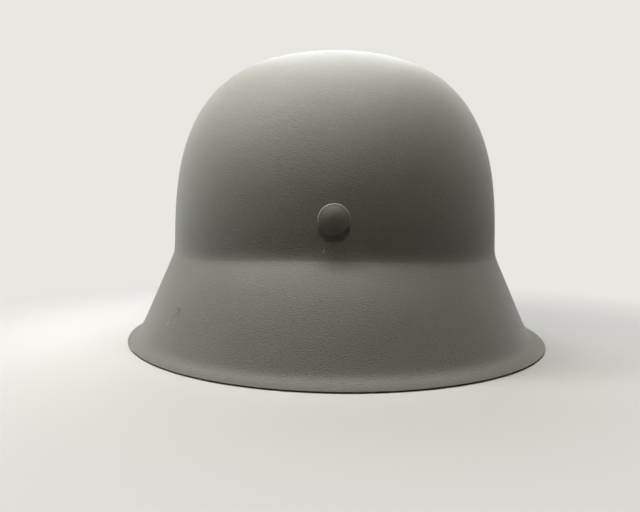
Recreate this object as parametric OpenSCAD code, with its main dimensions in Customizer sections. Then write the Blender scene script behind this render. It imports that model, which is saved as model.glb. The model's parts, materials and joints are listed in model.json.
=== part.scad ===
// Steel helmet with a flared skirt and a raw lip, a sprung band liner and a buckled chin strap.
// The visor faces -Y, the neck guard faces +Y, and the wearer's left is +X.
// The helmet stands on its rim at z = 0, with the origin in the middle of the outline.

/* [Shell] */
// Inside width of the shell at its waist
inner_w = 185; // [176:1:200]
// Inside length of the shell at its waist
inner_l = 223; // [214:1:236]
// Height of the inside of the crown over the rim
crown_z = 160; // [152:1:172]
// Thickness of the pressed steel sheet
sheet = 1.2; // [1:0.1:1.5]
// Height of the waist, where the dome turns out into the skirt
waist_z = 49.5; // [46:0.5:51]
// How much higher the waist is at the brow
brow_rise = 6; // [2:1:9]
// Height of the visor's rim over the rim at the ears and the neck
visor_rise = 28; // [22:1:32]
// How far the skirt stands out at the ears, up to the lip
side_flare = 20; // [14:1:25]
// How far the skirt stands out at the neck, up to the lip
neck_flare = 22; // [16:1:28]
// How far the visor stands out at the brow, up to the lip
visor_flare = 21.6; // [16:0.2:28]
// Radius of the soft bend at the waist
waist_bend = 4; // [2:0.5:8]
// How far the raw lip turns out
lip_out = 7; // [4:0.5:9]
// Height over which the lip turns out
lip_drop = 5; // [4:0.5:8]
// Fullness of the dome over the ears, where 2 is an ellipse
side_full = 2.88; // [2.5:0.02:3.1]
// Fullness of the dome at the neck
neck_full = 2.6; // [2.3:0.05:2.9]
// Fullness of the dome at the brow
brow_full = 2.35; // [2.1:0.05:2.6]
// Angle from the front at which the visor's rim starts to drop to the ears
temple_start = 44; // [38:1:50]
// Angle from the front at which the rim reaches the ears
temple_end = 84; // [78:1:90]

/* [Air vents] */
// Height of the air vents over the rim
vent_z = 88; // [84:1:94]
// Radius of the vent's hole
vent_hole_r = 2.5; // [2:0.1:3]
// Radius of the ring stamped up around the hole
vent_ring_r = 6.2; // [5.5:0.1:7]
// Height of the stamped ring
vent_ring_h = 1; // [0.6:0.1:1.4]

/* [Liner rivets] */
// Height of the three liner rivets over the rim
rivet_z = 67; // [65:0.5:69]
// Radius of a rivet's head
head_r = 6.9; // [6:0.1:7.5]
// Thickness of a rivet's head
head_h = 2.6; // [2:0.1:3.2]
// Radius of the rounded edge of the head
head_edge = 1.1; // [0.6:0.1:1.3]
// Radius of a rivet's split shank
shank_r = 2.3; // [2:0.1:2.5]
// Length of each bent leg of the split shank, from its middle
leg_l = 10; // [8:0.5:12]
// Thickness of each bent leg
leg_t = 1; // [0.8:0.1:1.2]
// Radius of the washer under the bent legs
washer_r = 6.2; // [5:0.1:7]
// Thickness of the washer
washer_t = 0.8; // [0.6:0.1:1]
// Angle of the two side rivets from the front
side_rivet_angle = 48; // [44:1:50]

/* [Liner bands] */
// Height of both liner bands
band_h = 24; // [22:1:25]
// Height of the outer band's lower edge over the rim
band_z = 55; // [54.5:0.5:56]
// Thickness of the outer band
outer_band_t = 0.9; // [0.8:0.1:1]
// Thickness of the inner band
inner_band_t = 0.7; // [0.6:0.1:0.9]
// Height of the inner band's lower edge over the outer band's
inner_band_up = 4; // [3.5:0.5:5]
// Free width between the two bands
spring_gap = 4.6; // [4.4:0.1:5.2]
// Half the length of a leaf spring
spring_half = 18; // [16:0.5:20]
// Width of a leaf spring
spring_w = 12; // [10:0.5:13]
// Thickness of a leaf spring
spring_t = 0.8; // [0.6:0.1:0.9]

/* [Leather] */
// Thickness of the felt strip
felt_t = 1.4; // [1:0.1:1.8]
// Thickness of the leather
leather_t = 1.5; // [1.2:0.1:1.8]
// Height of the drawn-in fingers over the sweatband
finger_rise = 50; // [44:1:54]
// Half the angle that one finger covers
finger_half = 19.5; // [17:0.5:20.5]
// How far the hole in the middle reaches, as a share of the liner's width
crown_hole = 0.27; // [0.25:0.01:0.3]
// Radius of the lace that draws the fingers in
lace_r = 1.2; // [1:0.1:1.3]
// Number of pins that hold the folded edge of the leather
pin_count = 16; // [12:1:18]

/* [Chin strap] */
// Width of the chin strap
strap_w = 15; // [13:0.5:16]
// Thickness of the chin strap
strap_t = 1.8; // [1.5:0.1:2]
// Radius of the wire of the bails and the buckle
wire_r = 1.2; // [1:0.1:1.3]
// Distance between the two bars of a bail
bail_drop = 11; // [10.5:0.5:12]
// Length of the folded end that the stud holds
fold_l = 26; // [24:1:28]
// Radius of the stud's heads
stud_r = 4.2; // [3.5:0.1:4.5]
// Radius of the bend where the strap turns onto the surface below
floor_bend = 12; // [10:1:13]
// Length of the long strap's run on the surface below
long_run = 60; // [50:1:62]
// Length of the long strap's end that lies back over its run
long_back = 50; // [40:1:52]
// Radius of the long strap's fold over itself
fold_bend = 5; // [4.5:0.5:6]
// Length of the short strap's run, up to the buckle
short_run = 42; // [36:1:44]
// Distance between the two bars of the buckle
buckle_l = 17; // [15:0.5:18]
// Radius of the buckle's roller
roller_r = 2; // [1.8:0.1:2.2]

/* [Hidden] */

$fn = 48;
around = 72;            // vertical facets of the shell
dome_rings = 15;        // rings from the crown to the waist
skirt_rings = 15;       // rings from the waist to the rim
outline_steps = 144;    // sides of the bands

touch = 0.05;           // gap between two faces that rest on each other
running = 0.1;          // gap round a pin that turns
floor_gap = 0.3;        // gap between the strap and the surface below

// Where the bands, felt and leather lie, as offsets from the inside of the waist
band_clear = 1.9;       // room for the rivet heads behind the outer band
leather_gap = 0.1;      // gap between the leather and what it wraps or lines
outer_band_off = -band_clear;
outer_band_in = outer_band_off - outer_band_t;
inner_band_off = outer_band_in - spring_gap;
inner_band_in = inner_band_off - inner_band_t;
felt_off = inner_band_in - leather_gap;
felt_in = felt_off - felt_t;
leather_off = felt_in - leather_gap;
leather_in = leather_off - leather_t;
fold_in = inner_band_off + leather_gap;
fold_off = fold_in + leather_t;

// Heights of the bands, springs, felt and leather
inner_band_z = band_z + inner_band_up;
leather_z = inner_band_z - leather_gap - leather_t;
leather_top = inner_band_z + band_h;
fold_up = 4.5;          // how far the fold reaches up the inner band
fold_top = inner_band_z + fold_up;
felt_z = fold_top + 0.5;
pin_z = inner_band_z + fold_up / 2;
spring_z = fold_top + 2.5;
spring_mid_z = spring_z + spring_w / 2;

// Angles of the parts round the outline, from +X towards +Y
rear = 90;
left = 0;
right = 180;
side_rivets = [270 + side_rivet_angle, 270 - side_rivet_angle];
spring_angles = [270, 338, 202, 38, 142];
finger_count = 8;

// Dome of the liner rivets' heads, and the small rivets of the springs, brackets and leather
head_dome = 0.35;
head_gap = 0.25;        // gap under a liner rivet's flat head, where the wall slopes
small_r = 1.1;
small_head_r = 2.1;
small_head_h = 0.7;
pin_r = 0.7;
pin_head_r = 1.6;
pin_head_h = 0.5;
spring_foot = 14.4;     // distance from a spring's middle to the rivets of its feet

// Bail and its bracket
loop_in = wire_r + running;
knuckle_wall = 1.1;
knuckle_r = loop_in + knuckle_wall;
knuckle_w = strap_w - 1;
bracket_t = 1;
bracket_w = strap_w + 8;
bracket_h = 15;
bracket_up = 1;         // height of the bracket's plate over the outer band's lower edge
bracket_rivet_y = strap_w / 2;
bracket_off = outer_band_in - touch;
hinge_off = bracket_off - bracket_t / 2;
hinge_x = inner_w / 2 + hinge_off;
hinge_z = band_z - knuckle_r - 0.6;
bar_z = hinge_z - bail_drop;
bail_half_w = strap_w / 2 + 1 + wire_r;
bail_corner = 2.4;      // radius of the wire's corners

// Chin strap, measured inwards from the hinge of its bail
skive = 0.15;           // how much thinner the leather is where it goes round a bar
strap_mid = loop_in - skive + strap_t / 2;
tail_mid = strap_t + 2 * touch - strap_mid;
tail_lean = 12;         // angle at which the folded end leans on to the strap
floor_z = floor_gap + strap_t / 2;
over_z = floor_z + strap_t + floor_gap;
run_start = floor_bend - strap_mid;
long_end = run_start + long_run;
tip_x = long_end - long_back;
stud_post_r = 1.6;
stud_head_h = 1.3;
stud_z = bar_z - 18;
buckle_bar = run_start + short_run;
buckle_z = floor_z + strap_mid;
buckle_fold = 22;       // length of the end that holds the buckle
prong_w = 2.4;
prong_r = 0.8;
prong_slot = 5;         // how far the slot for the prong reaches back from the bar
prong_hole_r = 1.2;
prong_hole_step = 8;
prong_holes = 5;

function sq(x) = x * x;
function unit(v) = v / norm(v);
function ease(x) = let (c = min(max(x, 0), 1)) c * c * (3 - 2 * c);

// A bend from level to slope 1, as wide as k, at d = 0
function ramp(d, k) = (d + sqrt(d * d + k * k)) / 2;

// A value that goes from the sides to the back and to the front
function round_mix(t, side, back, front) = side + ((sin(t) > 0 ? back : front) - side) * sq(sin(t));
function from_front(t) = abs((t + 270) % 360 - 180);

// The inside of the waist is an ellipse, and facing() points straight out of it
function waist(t) = [inner_w / 2 * cos(t), inner_l / 2 * sin(t)];
function facing(t) = unit([inner_l * cos(t), inner_w * sin(t)]);
function curve_r(t) = pow(norm([inner_w * sin(t), inner_l * cos(t)]), 3) / (2 * inner_w * inner_l);
function outline(off) = [for (i = [0:outline_steps - 1]) let (t = 360 * i / outline_steps)
    waist(t) + facing(t) * off];

// How far a flat disc of radius r stands off the inside of a band at angle t
function sag(t, off, r) = r * r / (2 * (curve_r(t) + off));

// Angle that a length along the outline covers
function degrees_of(t, mm) = mm * 180 / PI / norm([inner_w / 2 * sin(t), inner_l / 2 * cos(t)]);

// Height of the rim and of the waist at each angle
function visor_share(t) = ease((temple_end - from_front(t)) / (temple_end - temple_start));
function rim_z(t) = visor_rise * visor_share(t);
function waist_height(t) = waist_z + brow_rise * visor_share(t);

// How far the skirt and its lip stand out of the waist
function flare(t, z) = let (wz = waist_height(t), rz = rim_z(t))
    round_mix(t, side_flare, neck_flare, visor_flare)
        * ramp(wz - z, waist_bend) / ramp(wz - rz, waist_bend)
    + lip_out * ramp(rz + lip_drop - z, lip_drop * 0.85) / ramp(lip_drop, lip_drop * 0.85);

// Share of the waist's outline that the dome has at height z
function dome_share(t, z) = let (n = round_mix(t, side_full, neck_full, brow_full), wz = waist_height(t))
    pow(1 - pow(min(max((z - wz) / (crown_z - wz), 0), 1), n), 1 / n);

// Inside face of the shell: v runs from the crown at 0 to the rim at dome_rings + skirt_rings
function ring_z(t, v) = let (wz = waist_height(t), u = (v - dome_rings) / skirt_rings)
    v <= dome_rings ? wz + (crown_z - wz) * cos(90 * v / dome_rings)
                    : wz + (rim_z(t) - wz) * (u - 0.09 * sin(360 * u));
function inside(t, v) = let (z = ring_z(t, v), p = dome_share(t, z) * (waist(t) + facing(t) * flare(t, z)))
    [p.x, p.y, z];

// Straight out of the inside face, from the slopes round and down it
function outward(t, v) = let (e = 0.02, last = dome_rings + skirt_rings, v1 = min(v + e, last))
    unit(cross(inside(t, v1) - inside(t, v1 - 2 * e), inside(t + 0.5, v) - inside(t - 0.5, v)));

// Offset of the inside face from the waist at height z
function wall_off(t, z) = let (s = dome_share(t, z)) s * flare(t, z) - (1 - s) * (waist(t) * facing(t));
function wall_tilt(t, z) = atan((wall_off(t, z - 0.5) - wall_off(t, z + 0.5)));

// Puts its children on the outline at angle t, with +X straight out and +Y along the outline
module on_outline(t, z = 0) {
    translate([waist(t).x, waist(t).y, z])
        rotate([0, 0, atan2(facing(t).y, facing(t).x)])
            children();
}

module along_x(from, to, r) {
    translate([from, 0, 0])
        rotate([0, 90, 0])
            cylinder(h = to - from, r = r);
}

module along_y(l, r) {
    rotate([90, 0, 0])
        cylinder(h = l, r = r, center = true);
}

// Points of an arc from angle a to angle b
function arc(centre, r, a, b, steps = 12) =
    [for (i = [0:steps]) let (w = a + (b - a) * i / steps) centre + r * [cos(w), sin(w)]];

// Outline of an even thickness t along a path
function ribbon(path, t) = let (
    n = len(path) - 1,
    ahead = [for (i = [0:n - 1]) unit(path[i + 1] - path[i])],
    half = [for (i = [0:n]) let (d = unit(ahead[max(i - 1, 0)] + ahead[min(i, n - 1)])) [-d.y, d.x] * t / 2])
    concat([for (i = [0:n]) path[i] + half[i]], [for (i = [n:-1:0]) path[i] - half[i]]);

// Sheet that follows the outline around angle t, with its outer face at the offsets given
module outline_strip(t, half_l, offs, thick, h) {
    n = len(offs) - 1;
    angles = [for (i = [0:n]) t + degrees_of(t, half_l) * (2 * i / n - 1)];
    linear_extrude(h)
        polygon(concat(
            [for (i = [0:n]) waist(angles[i]) + facing(angles[i]) * offs[i]],
            [for (i = [n:-1:0]) waist(angles[i]) + facing(angles[i]) * (offs[i] - thick)]));
}

// Pressed sheet between the inside face and the same face one sheet thickness further out.
// The raw rim is trimmed level, so the helmet stands on it.
module pressed_sheet() {
    last = dome_rings + skirt_rings;
    angles = [for (i = [0:around - 1]) 360 * i / around];
    inner = [for (v = [1:last]) for (t = angles) inside(t, v)];
    outer = [for (v = [1:last]) for (t = angles) let (n = outward(t, v), p = inside(t, v))
        v < last ? p + n * sheet : p + [n.x, n.y, 0] * sheet / (sq(n.x) + sq(n.y))];
    count = around * last;
    tops = [[0, 0, crown_z], [0, 0, crown_z + sheet]];
    function at(side, v, i) = side * count + (v - 1) * around + i % around;
    inner_top = 2 * count;
    outer_top = inner_top + 1;
    polyhedron(points = concat(inner, outer, tops), convexity = 6, faces = concat(
        [for (i = [0:around - 1]) [inner_top, at(0, 1, i), at(0, 1, i + 1)]],
        [for (i = [0:around - 1]) [outer_top, at(1, 1, i + 1), at(1, 1, i)]],
        [for (v = [1:last - 1]) for (i = [0:around - 1])
            [at(0, v, i), at(0, v + 1, i), at(0, v + 1, i + 1), at(0, v, i + 1)]],
        [for (v = [1:last - 1]) for (i = [0:around - 1])
            [at(1, v, i), at(1, v, i + 1), at(1, v + 1, i + 1), at(1, v + 1, i)]],
        [for (i = [0:around - 1])
            [at(0, last, i), at(1, last, i), at(1, last, i + 1), at(0, last, i + 1)]]));
}

// Puts its children on the outside face at a vent, with +Z straight out of the sheet
module at_vent(t) {
    on_outline(t, vent_z)
        translate([wall_off(t, vent_z), 0, 0])
            rotate([0, 90 - wall_tilt(t, vent_z), 0])
                translate([0, 0, sheet])
                    children();
}

module vent_ring() {
    crest = (vent_hole_r + vent_ring_r) / 2;
    rotate_extrude()
        polygon([[vent_hole_r, -sheet * 0.7], [vent_hole_r, vent_ring_h * 0.6], [crest - 0.6, vent_ring_h],
                 [crest + 0.6, vent_ring_h], [vent_ring_r, -0.35], [vent_ring_r, -sheet * 0.7]]);
}

module shell() {
    color("#5c5d55")
        difference() {
            union() {
                pressed_sheet();
                for (t = [left, right]) at_vent(t) vent_ring();
            }
            for (t = [left, right])
                at_vent(t) translate([0, 0, -4]) cylinder(h = 8, r = vent_hole_r);
            for (t = concat([rear], side_rivets))
                on_outline(t, rivet_z) along_x(-4, 6, shank_r + running);
        }
}

// One of the three split rivets: a low domed head, a shank and two legs bent flat over the washer
function head_seat(t) = sheet + head_gap + max([for (a = [0:15:345]) let (y = head_r * cos(a))
    wall_off(t + degrees_of(t, y), rivet_z + head_r * sin(a)) - sag(t, 0, y)]);
function washer_seat(t) = outer_band_in - touch - sag(t, outer_band_in, washer_r);
function leg_seat(t) = washer_seat(t) - washer_t - touch;

module rivet_head() {
    flat_r = head_r - head_edge;
    rotate_extrude()
        polygon(concat([[0, 0], [head_r, 0]],
                       arc([flat_r, head_h - head_dome - head_edge], head_edge, 0, 90, 6),
                       [for (i = [3:-1:0]) [flat_r * i / 4, head_h - head_dome * sq(i / 4)]]));
}

module liner_rivet(t) {
    leg_half_w = shank_r - 0.3;
    color("#5a5b53")
        on_outline(t, rivet_z) {
            translate([head_seat(t), 0, 0]) rotate([0, 90, 0]) rivet_head();
            along_x(leg_seat(t) - leg_t, head_seat(t) + head_h / 2, shank_r);
            translate([leg_seat(t) - leg_t, -leg_l, -leg_half_w]) cube([leg_t, 2 * leg_l, 2 * leg_half_w]);
            for (side = [-1, 1])
                translate([0, side * leg_l, 0]) along_x(leg_seat(t) - leg_t, leg_seat(t), leg_half_w);
        }
}

module rivet_washer(t) {
    color("#8a8c88")
        on_outline(t, rivet_z)
            difference() {
                along_x(washer_seat(t) - washer_t, washer_seat(t), washer_r);
                along_x(washer_seat(t) - 2 * washer_t, washer_seat(t) + washer_t, shank_r + running);
            }
}

module band(off, t, z, h) {
    translate([0, 0, z])
        linear_extrude(h)
            difference() {
                polygon(outline(off));
                polygon(outline(off - t));
            }
}

function pair_angles(t, mm) = [for (side = [-1, 1]) t + side * degrees_of(t, mm)];
function spring_feet() = [for (t = spring_angles) each pair_angles(t, spring_foot)];
function bracket_feet() = [for (t = [left, right]) each pair_angles(t, bracket_rivet_y)];
function pin_angle(i) = 360 * (i + 0.5) / pin_count;

module outer_band() {
    color("#7d7f7b")
        difference() {
            band(outer_band_off, outer_band_t, band_z, band_h);
            for (t = concat([rear], side_rivets))
                on_outline(t, rivet_z) along_x(outer_band_in - 2, 0, shank_r + running);
            for (t = spring_feet())
                on_outline(t, spring_mid_z) along_x(outer_band_in - 2, 0, small_r + touch);
            for (t = bracket_feet())
                on_outline(t, rivet_z) along_x(outer_band_in - 2, 0, small_r + touch);
        }
}

module inner_band() {
    color("#7d7f7b")
        difference() {
            band(inner_band_off, inner_band_t, inner_band_z, band_h);
            for (t = spring_angles)
                on_outline(t, spring_mid_z) along_x(inner_band_in - 1, inner_band_off + 1, small_r + touch);
            for (i = [0:pin_count - 1])
                on_outline(pin_angle(i), pin_z) along_x(inner_band_in - 1, inner_band_off + 1, pin_r + touch);
        }
}

// Bowed leaf: its feet lie on the outer band and its middle on the inner band
module leaf_spring(t) {
    steps = 32;
    foot = outer_band_in - touch;
    middle = inner_band_off + touch + spring_t;
    bow = [for (i = [0:steps]) let (p = abs(2 * i / steps - 1))
        foot + (middle - foot) * ease((0.62 - p) / 0.34)];
    color("#9a9c9a")
        difference() {
            translate([0, 0, spring_z]) outline_strip(t, spring_half, bow, spring_t, spring_w);
            for (foot_t = pair_angles(t, spring_foot))
                on_outline(foot_t, spring_mid_z) along_x(foot - 2, 0, small_r + touch);
            on_outline(t, spring_mid_z) along_x(inner_band_off - 1, outer_band_in, small_r + touch);
        }
}

// Rivet with a flat head each side of what it holds, from offset a to the larger offset b
module small_rivet(a, b, r, head, h) {
    along_x(a - h, b + h, r);
    along_x(a - h, a, head);
    along_x(b, b + h, head);
}

module spring_foot_rivets() {
    color("#8a8c88")
        for (t = spring_feet())
            on_outline(t, spring_mid_z)
                small_rivet(outer_band_in - spring_t - 3 * touch, outer_band_off + touch,
                            small_r, small_head_r, small_head_h);
}

module spring_middle_rivets() {
    color("#8a8c88")
        for (t = spring_angles)
            on_outline(t, spring_mid_z)
                small_rivet(inner_band_in - touch, inner_band_off + spring_t + 3 * touch,
                            small_r, small_head_r, small_head_h);
}

// Plate riveted inside the outer band, with a rolled knuckle below it that holds the bail
module bail_bracket(t) {
    seat = [for (i = [0:10]) bracket_off];
    color("#6f716c")
        difference() {
            union() {
                translate([0, 0, band_z + bracket_up])
                    outline_strip(t, bracket_w / 2, seat, bracket_t, bracket_h);
                translate([0, 0, hinge_z])
                    outline_strip(t, knuckle_w / 2, seat, bracket_t, band_z + 2 * bracket_up - hinge_z);
                on_outline(t, hinge_z) translate([hinge_off, 0, 0]) along_y(knuckle_w, knuckle_r);
            }
            on_outline(t, hinge_z) translate([hinge_off, 0, 0]) along_y(knuckle_w + 2, loop_in);
            for (foot = pair_angles(t, bracket_rivet_y))
                on_outline(foot, rivet_z) along_x(bracket_off - 3, 0, small_r + touch);
        }
}

module bracket_rivets() {
    color("#8a8c88")
        for (t = bracket_feet())
            on_outline(t, rivet_z)
                small_rivet(bracket_off - bracket_t - touch, outer_band_off + touch,
                            small_r, small_head_r, small_head_h);
}

// The rivet heads on the inner band sit in holes in the felt
module felt_strip() {
    color("#8d8a7c")
        difference() {
            band(felt_off, felt_t, felt_z, leather_top - felt_z);
            for (t = spring_angles)
                on_outline(t, spring_mid_z) along_x(felt_in - 1, felt_off + 1, small_head_r + 0.3);
        }
}

module leather_pins() {
    color("#8a8c88")
        for (i = [0:pin_count - 1])
            on_outline(pin_angle(i), pin_z)
                small_rivet(inner_band_in - touch, fold_off + touch, pin_r, pin_head_r, pin_head_h);
}

// Leather over the head: c runs from 0 at the sweatband to 1 at the crown
finger_off = leather_off - 0.15;
finger_t = leather_t - 0.3;
lining_full = 2.2;
function lining_share(c) = pow(1 - pow(c, lining_full), 1 / lining_full);
function lining(t, c) = let (p = lining_share(c) * (waist(t) + facing(t) * finger_off))
    [p.x, p.y, leather_top + finger_rise * c];
function lining_out(t, c) = let (c1 = max(c, 0.01))
    unit(cross(lining(t + 0.5, c1) - lining(t - 0.5, c1), lining(t, c1 + 0.01) - lining(t, c1 - 0.01)));
tip_c = pow(1 - pow(crown_hole, lining_full), 1 / lining_full);
lace_share = crown_hole + 0.1;
lace_c = pow(1 - pow(lace_share, lining_full), 1 / lining_full);
function finger_angle(k) = 360 * (k + 0.5) / finger_count;

// One finger of the leather, rounded at its tip, drawn in over the head
module finger(k) {
    across = 10;
    along = 9;
    root = -3;
    function spot(side, j, i) = let (
        u = 2 * i / across - 1,
        t = finger_angle(k) + finger_half * u,
        c = max(0, sin(90 * j / along) * (tip_c - 0.035 * sq(sq(u)))),
        p = lining(t, c))
        j < 0 ? [p.x, p.y, p.z + root] - (side == 0 ? [0, 0, 0] : finger_t * [facing(t).x, facing(t).y, 0])
              : p - (side == 0 ? [0, 0, 0] : finger_t * lining_out(t, c));
    rows = along + 2;
    cols = across + 1;
    function at(side, j, i) = side * rows * cols + j * cols + i;
    polyhedron(points = [for (side = [0, 1]) for (j = [-1:along]) for (i = [0:across]) spot(side, j, i)],
        faces = concat(
            [for (j = [0:rows - 2]) for (i = [0:across - 1])
                [at(0, j, i), at(0, j + 1, i), at(0, j + 1, i + 1), at(0, j, i + 1)]],
            [for (j = [0:rows - 2]) for (i = [0:across - 1])
                [at(1, j, i), at(1, j, i + 1), at(1, j + 1, i + 1), at(1, j + 1, i)]],
            [for (j = [0:rows - 2]) [at(0, j, 0), at(1, j, 0), at(1, j + 1, 0), at(0, j + 1, 0)]],
            [for (j = [0:rows - 2])
                [at(0, j, across), at(0, j + 1, across), at(1, j + 1, across), at(1, j, across)]],
            [for (i = [0:across - 1]) [at(0, 0, i), at(0, 0, i + 1), at(1, 0, i + 1), at(1, 0, i)]],
            [for (i = [0:across - 1])
                [at(0, rows - 1, i), at(1, rows - 1, i), at(1, rows - 1, i + 1), at(0, rows - 1, i + 1)]]));
}

// Sweatband folded under the inner band, with the fingers rising from it
module leather_liner() {
    slot_l = 9.5;
    slot_w = 2 * lace_r + 0.8;
    color("#6a4a30")
        difference() {
            union() {
                difference() {
                    band(fold_off, fold_off - leather_in, leather_z, leather_top - leather_z);
                    band(fold_in, fold_in - leather_off, leather_z + leather_t, leather_top);
                    band(fold_off + 1, fold_off + 1 - inner_band_off, fold_top, leather_top);
                }
                for (k = [0:finger_count - 1]) finger(k);
            }
            for (i = [0:pin_count - 1])
                on_outline(pin_angle(i), pin_z) along_x(fold_in - 0.5, fold_off + 1, pin_r + touch);
            for (k = [0:finger_count - 1]) {
                p = lining(finger_angle(k), lace_c);
                translate(p)
                    rotate([0, 0, atan2(p.y, p.x)])
                        cube([slot_w, slot_l, 8], center = true);
            }
        }
}

// The lace runs round the crown from its knot at the back, under each finger and over each gap
lace_steps = 96;
lace_weave = 2.25;
function lace_mid(i) = let (
    t = rear + 360 * i / lace_steps,
    w = sin(finger_count / 2 * (t - finger_angle(0))),
    p = lining(t, lace_c))
    p - [0, 0, finger_t / 2 + lace_weave * w / sqrt(w * w + 0.12)];

module liner_lace() {
    sides = 8;
    last = lace_steps - 2;
    function ring(i) = let (
        ahead = unit(lace_mid(i + 1) - lace_mid(i - 1)),
        side = unit(cross(ahead, [0, 0, 1])),
        up = cross(side, ahead))
        [for (k = [0:sides - 1]) lace_mid(i) + lace_r * (cos(360 * k / sides) * side + sin(360 * k / sides) * up)];
    function at(i, k) = i * sides + k % sides;
    color("#b9a582")
        polyhedron(points = [for (i = [0:last]) each ring(i + 1)], convexity = 4, faces = concat(
            [for (i = [0:last - 1]) for (k = [0:sides - 1])
                [at(i, k), at(i, k + 1), at(i + 1, k + 1), at(i + 1, k)]],
            [[for (k = [sides - 1:-1:0]) at(0, k)]],
            [[for (k = [0:sides - 1]) at(last, k)]]));
}

module lace_knot() {
    knot_r = 3.1;
    knot_w = 3.6;
    end_l = 18;
    color("#b9a582")
        translate(lace_mid(0)) {
            intersection() {
                sphere(knot_r);
                cube([knot_w, 3 * knot_r, 3 * knot_r], center = true);
            }
            for (side = [-1, 1])
                rotate([0, 0, rear + 28 * side])
                    rotate([0, 100, 0])
                        cylinder(h = end_l, r = lace_r);
        }
}

// Rectangular wire loop in the YZ plane, its upper bar at z = 0 and its lower bar at z = -drop
module wire_loop(half_w, drop) {
    straight = half_w - bail_corner;
    for (z = [0, -drop])
        translate([0, 0, z]) along_y(2 * straight, wire_r);
    for (y = [-1, 1] * half_w)
        translate([0, y, bail_corner - drop]) cylinder(h = drop - 2 * bail_corner, r = wire_r);
    for (turn = [0:3])
        translate([0, (turn == 0 || turn == 3 ? 1 : -1) * straight, turn < 2 ? -bail_corner : bail_corner - drop])
            rotate([0, 90, 0])
                rotate([0, 0, 90 + 90 * turn])
                    rotate_extrude(angle = 90)
                        translate([bail_corner, 0]) circle(wire_r);
}

// Puts its children at a side with the hinge of the bail at the origin and +X pointing inwards
module from_side(t) {
    rotate([0, 0, t == left ? 180 : 0])
        translate([-hinge_x, 0, 0])
            children();
}

module bail(t) {
    color("#6f716c")
        from_side(t)
            translate([0, 0, hinge_z])
                wire_loop(bail_half_w, bail_drop);
}

// A strap's end round a bar at the origin: it leans back on to the strap, which leaves under the bar
function loop_path(l) = let (reach = (strap_mid * cos(tail_lean) - tail_mid) / sin(tail_lean))
    concat([[-l, tail_mid], [-strap_mid * sin(tail_lean) - reach * cos(tail_lean), tail_mid]],
           arc([0, 0], strap_mid, 90 + tail_lean, -90, 18));

// The strap's way from its folded end, round the bail's lower bar and down on to the surface below
hang_path = concat([for (p = loop_path(fold_l)) [p.y, bar_z + p.x]],
                   arc([run_start, floor_z + floor_bend], floor_bend, 180, 270));

// Strap along a path of inward distance and height, bored for the bars that it goes round
module strap(path, bars) {
    rotate([90, 0, 0])
        linear_extrude(strap_w, center = true)
            difference() {
                polygon(ribbon(path, strap_t));
                for (bar = bars) translate(bar) circle(loop_in);
            }
}

module stud_hole() {
    translate([0, 0, stud_z]) along_x(-2 * strap_t - strap_mid, 2 * strap_t, stud_post_r + running);
}

module strap_stud() {
    outer = -strap_mid - strap_t / 2 - touch;
    inner = tail_mid + strap_t / 2 + touch;
    color("#8a8c88")
        translate([0, 0, stud_z]) {
            along_x(outer - stud_head_h, inner + stud_head_h, stud_post_r);
            along_x(outer - stud_head_h, outer, stud_r);
            along_x(inner, inner + stud_head_h, stud_r);
        }
}

// The long strap's end lies back over its run, with the holes for the prong and a pointed tip
module chin_strap_long() {
    back = [for (i = [1:12]) let (s = i / 12)
        [long_end - long_back * s, over_z + (floor_z + 2 * fold_bend - over_z) * (1 - ease(s / 0.75))]];
    between = over_z - (strap_t + floor_gap) / 2;
    tip_cut = 7;
    color("#4a3222")
        from_side(left)
            difference() {
                strap(concat(hang_path, arc([long_end, floor_z + fold_bend], fold_bend, -90, 90), back),
                      [[0, bar_z]]);
                stud_hole();
                for (i = [0:prong_holes - 1])
                    translate([tip_x + prong_hole_step * (i + 1), 0, between])
                        cylinder(h = 4 * fold_bend, r = prong_hole_r);
                for (y = [-1, 1] * strap_w / 2)
                    translate([tip_x, y, between])
                        rotate([0, 0, 45])
                            translate([-tip_cut / 2, -tip_cut / 2, 0])
                                cube([tip_cut, tip_cut, 4 * fold_bend]);
            }
}

module chin_strap_short() {
    buckle_path = [for (p = loop_path(buckle_fold)) [buckle_bar, buckle_z] + p];
    slot_w = prong_w + 0.8;
    color("#4a3222")
        from_side(right)
            difference() {
                strap(concat(hang_path, [for (i = [len(buckle_path) - 1:-1:0]) buckle_path[i]]),
                      [[0, bar_z], [buckle_bar, buckle_z]]);
                stud_hole();
                translate([buckle_bar - prong_slot, -slot_w / 2, -1])
                    cube([prong_slot + 2 * strap_mid, slot_w, buckle_z + 2 * strap_mid]);
            }
}

module buckle_frame() {
    color("#6f716c")
        from_side(right)
            translate([buckle_bar, 0, buckle_z])
                rotate([0, -90, 0])
                    wire_loop(bail_half_w, buckle_l);
}

// Ring round the buckle's back bar, and a tongue that lies on the roller
module buckle_prong() {
    ring_r = loop_in + 1;
    rise = atan((roller_r + running + prong_r) / buckle_l);
    color("#7b7d79")
        from_side(right)
            translate([buckle_bar, 0, buckle_z])
                difference() {
                    union() {
                        along_y(prong_w, ring_r);
                        rotate([0, 90 - rise, 0])
                            translate([0, 0, loop_in + 0.3])
                                cylinder(h = buckle_l + 2, r = prong_r);
                    }
                    along_y(2 * prong_w, loop_in);
                }
}

module buckle_roller() {
    roller_w = 2 * (bail_half_w - bail_corner) - 0.6;
    color("#8a8c88")
        from_side(right)
            translate([buckle_bar + buckle_l, 0, buckle_z])
                difference() {
                    along_y(roller_w, roller_r);
                    along_y(roller_w + 2, loop_in);
                }
}

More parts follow.
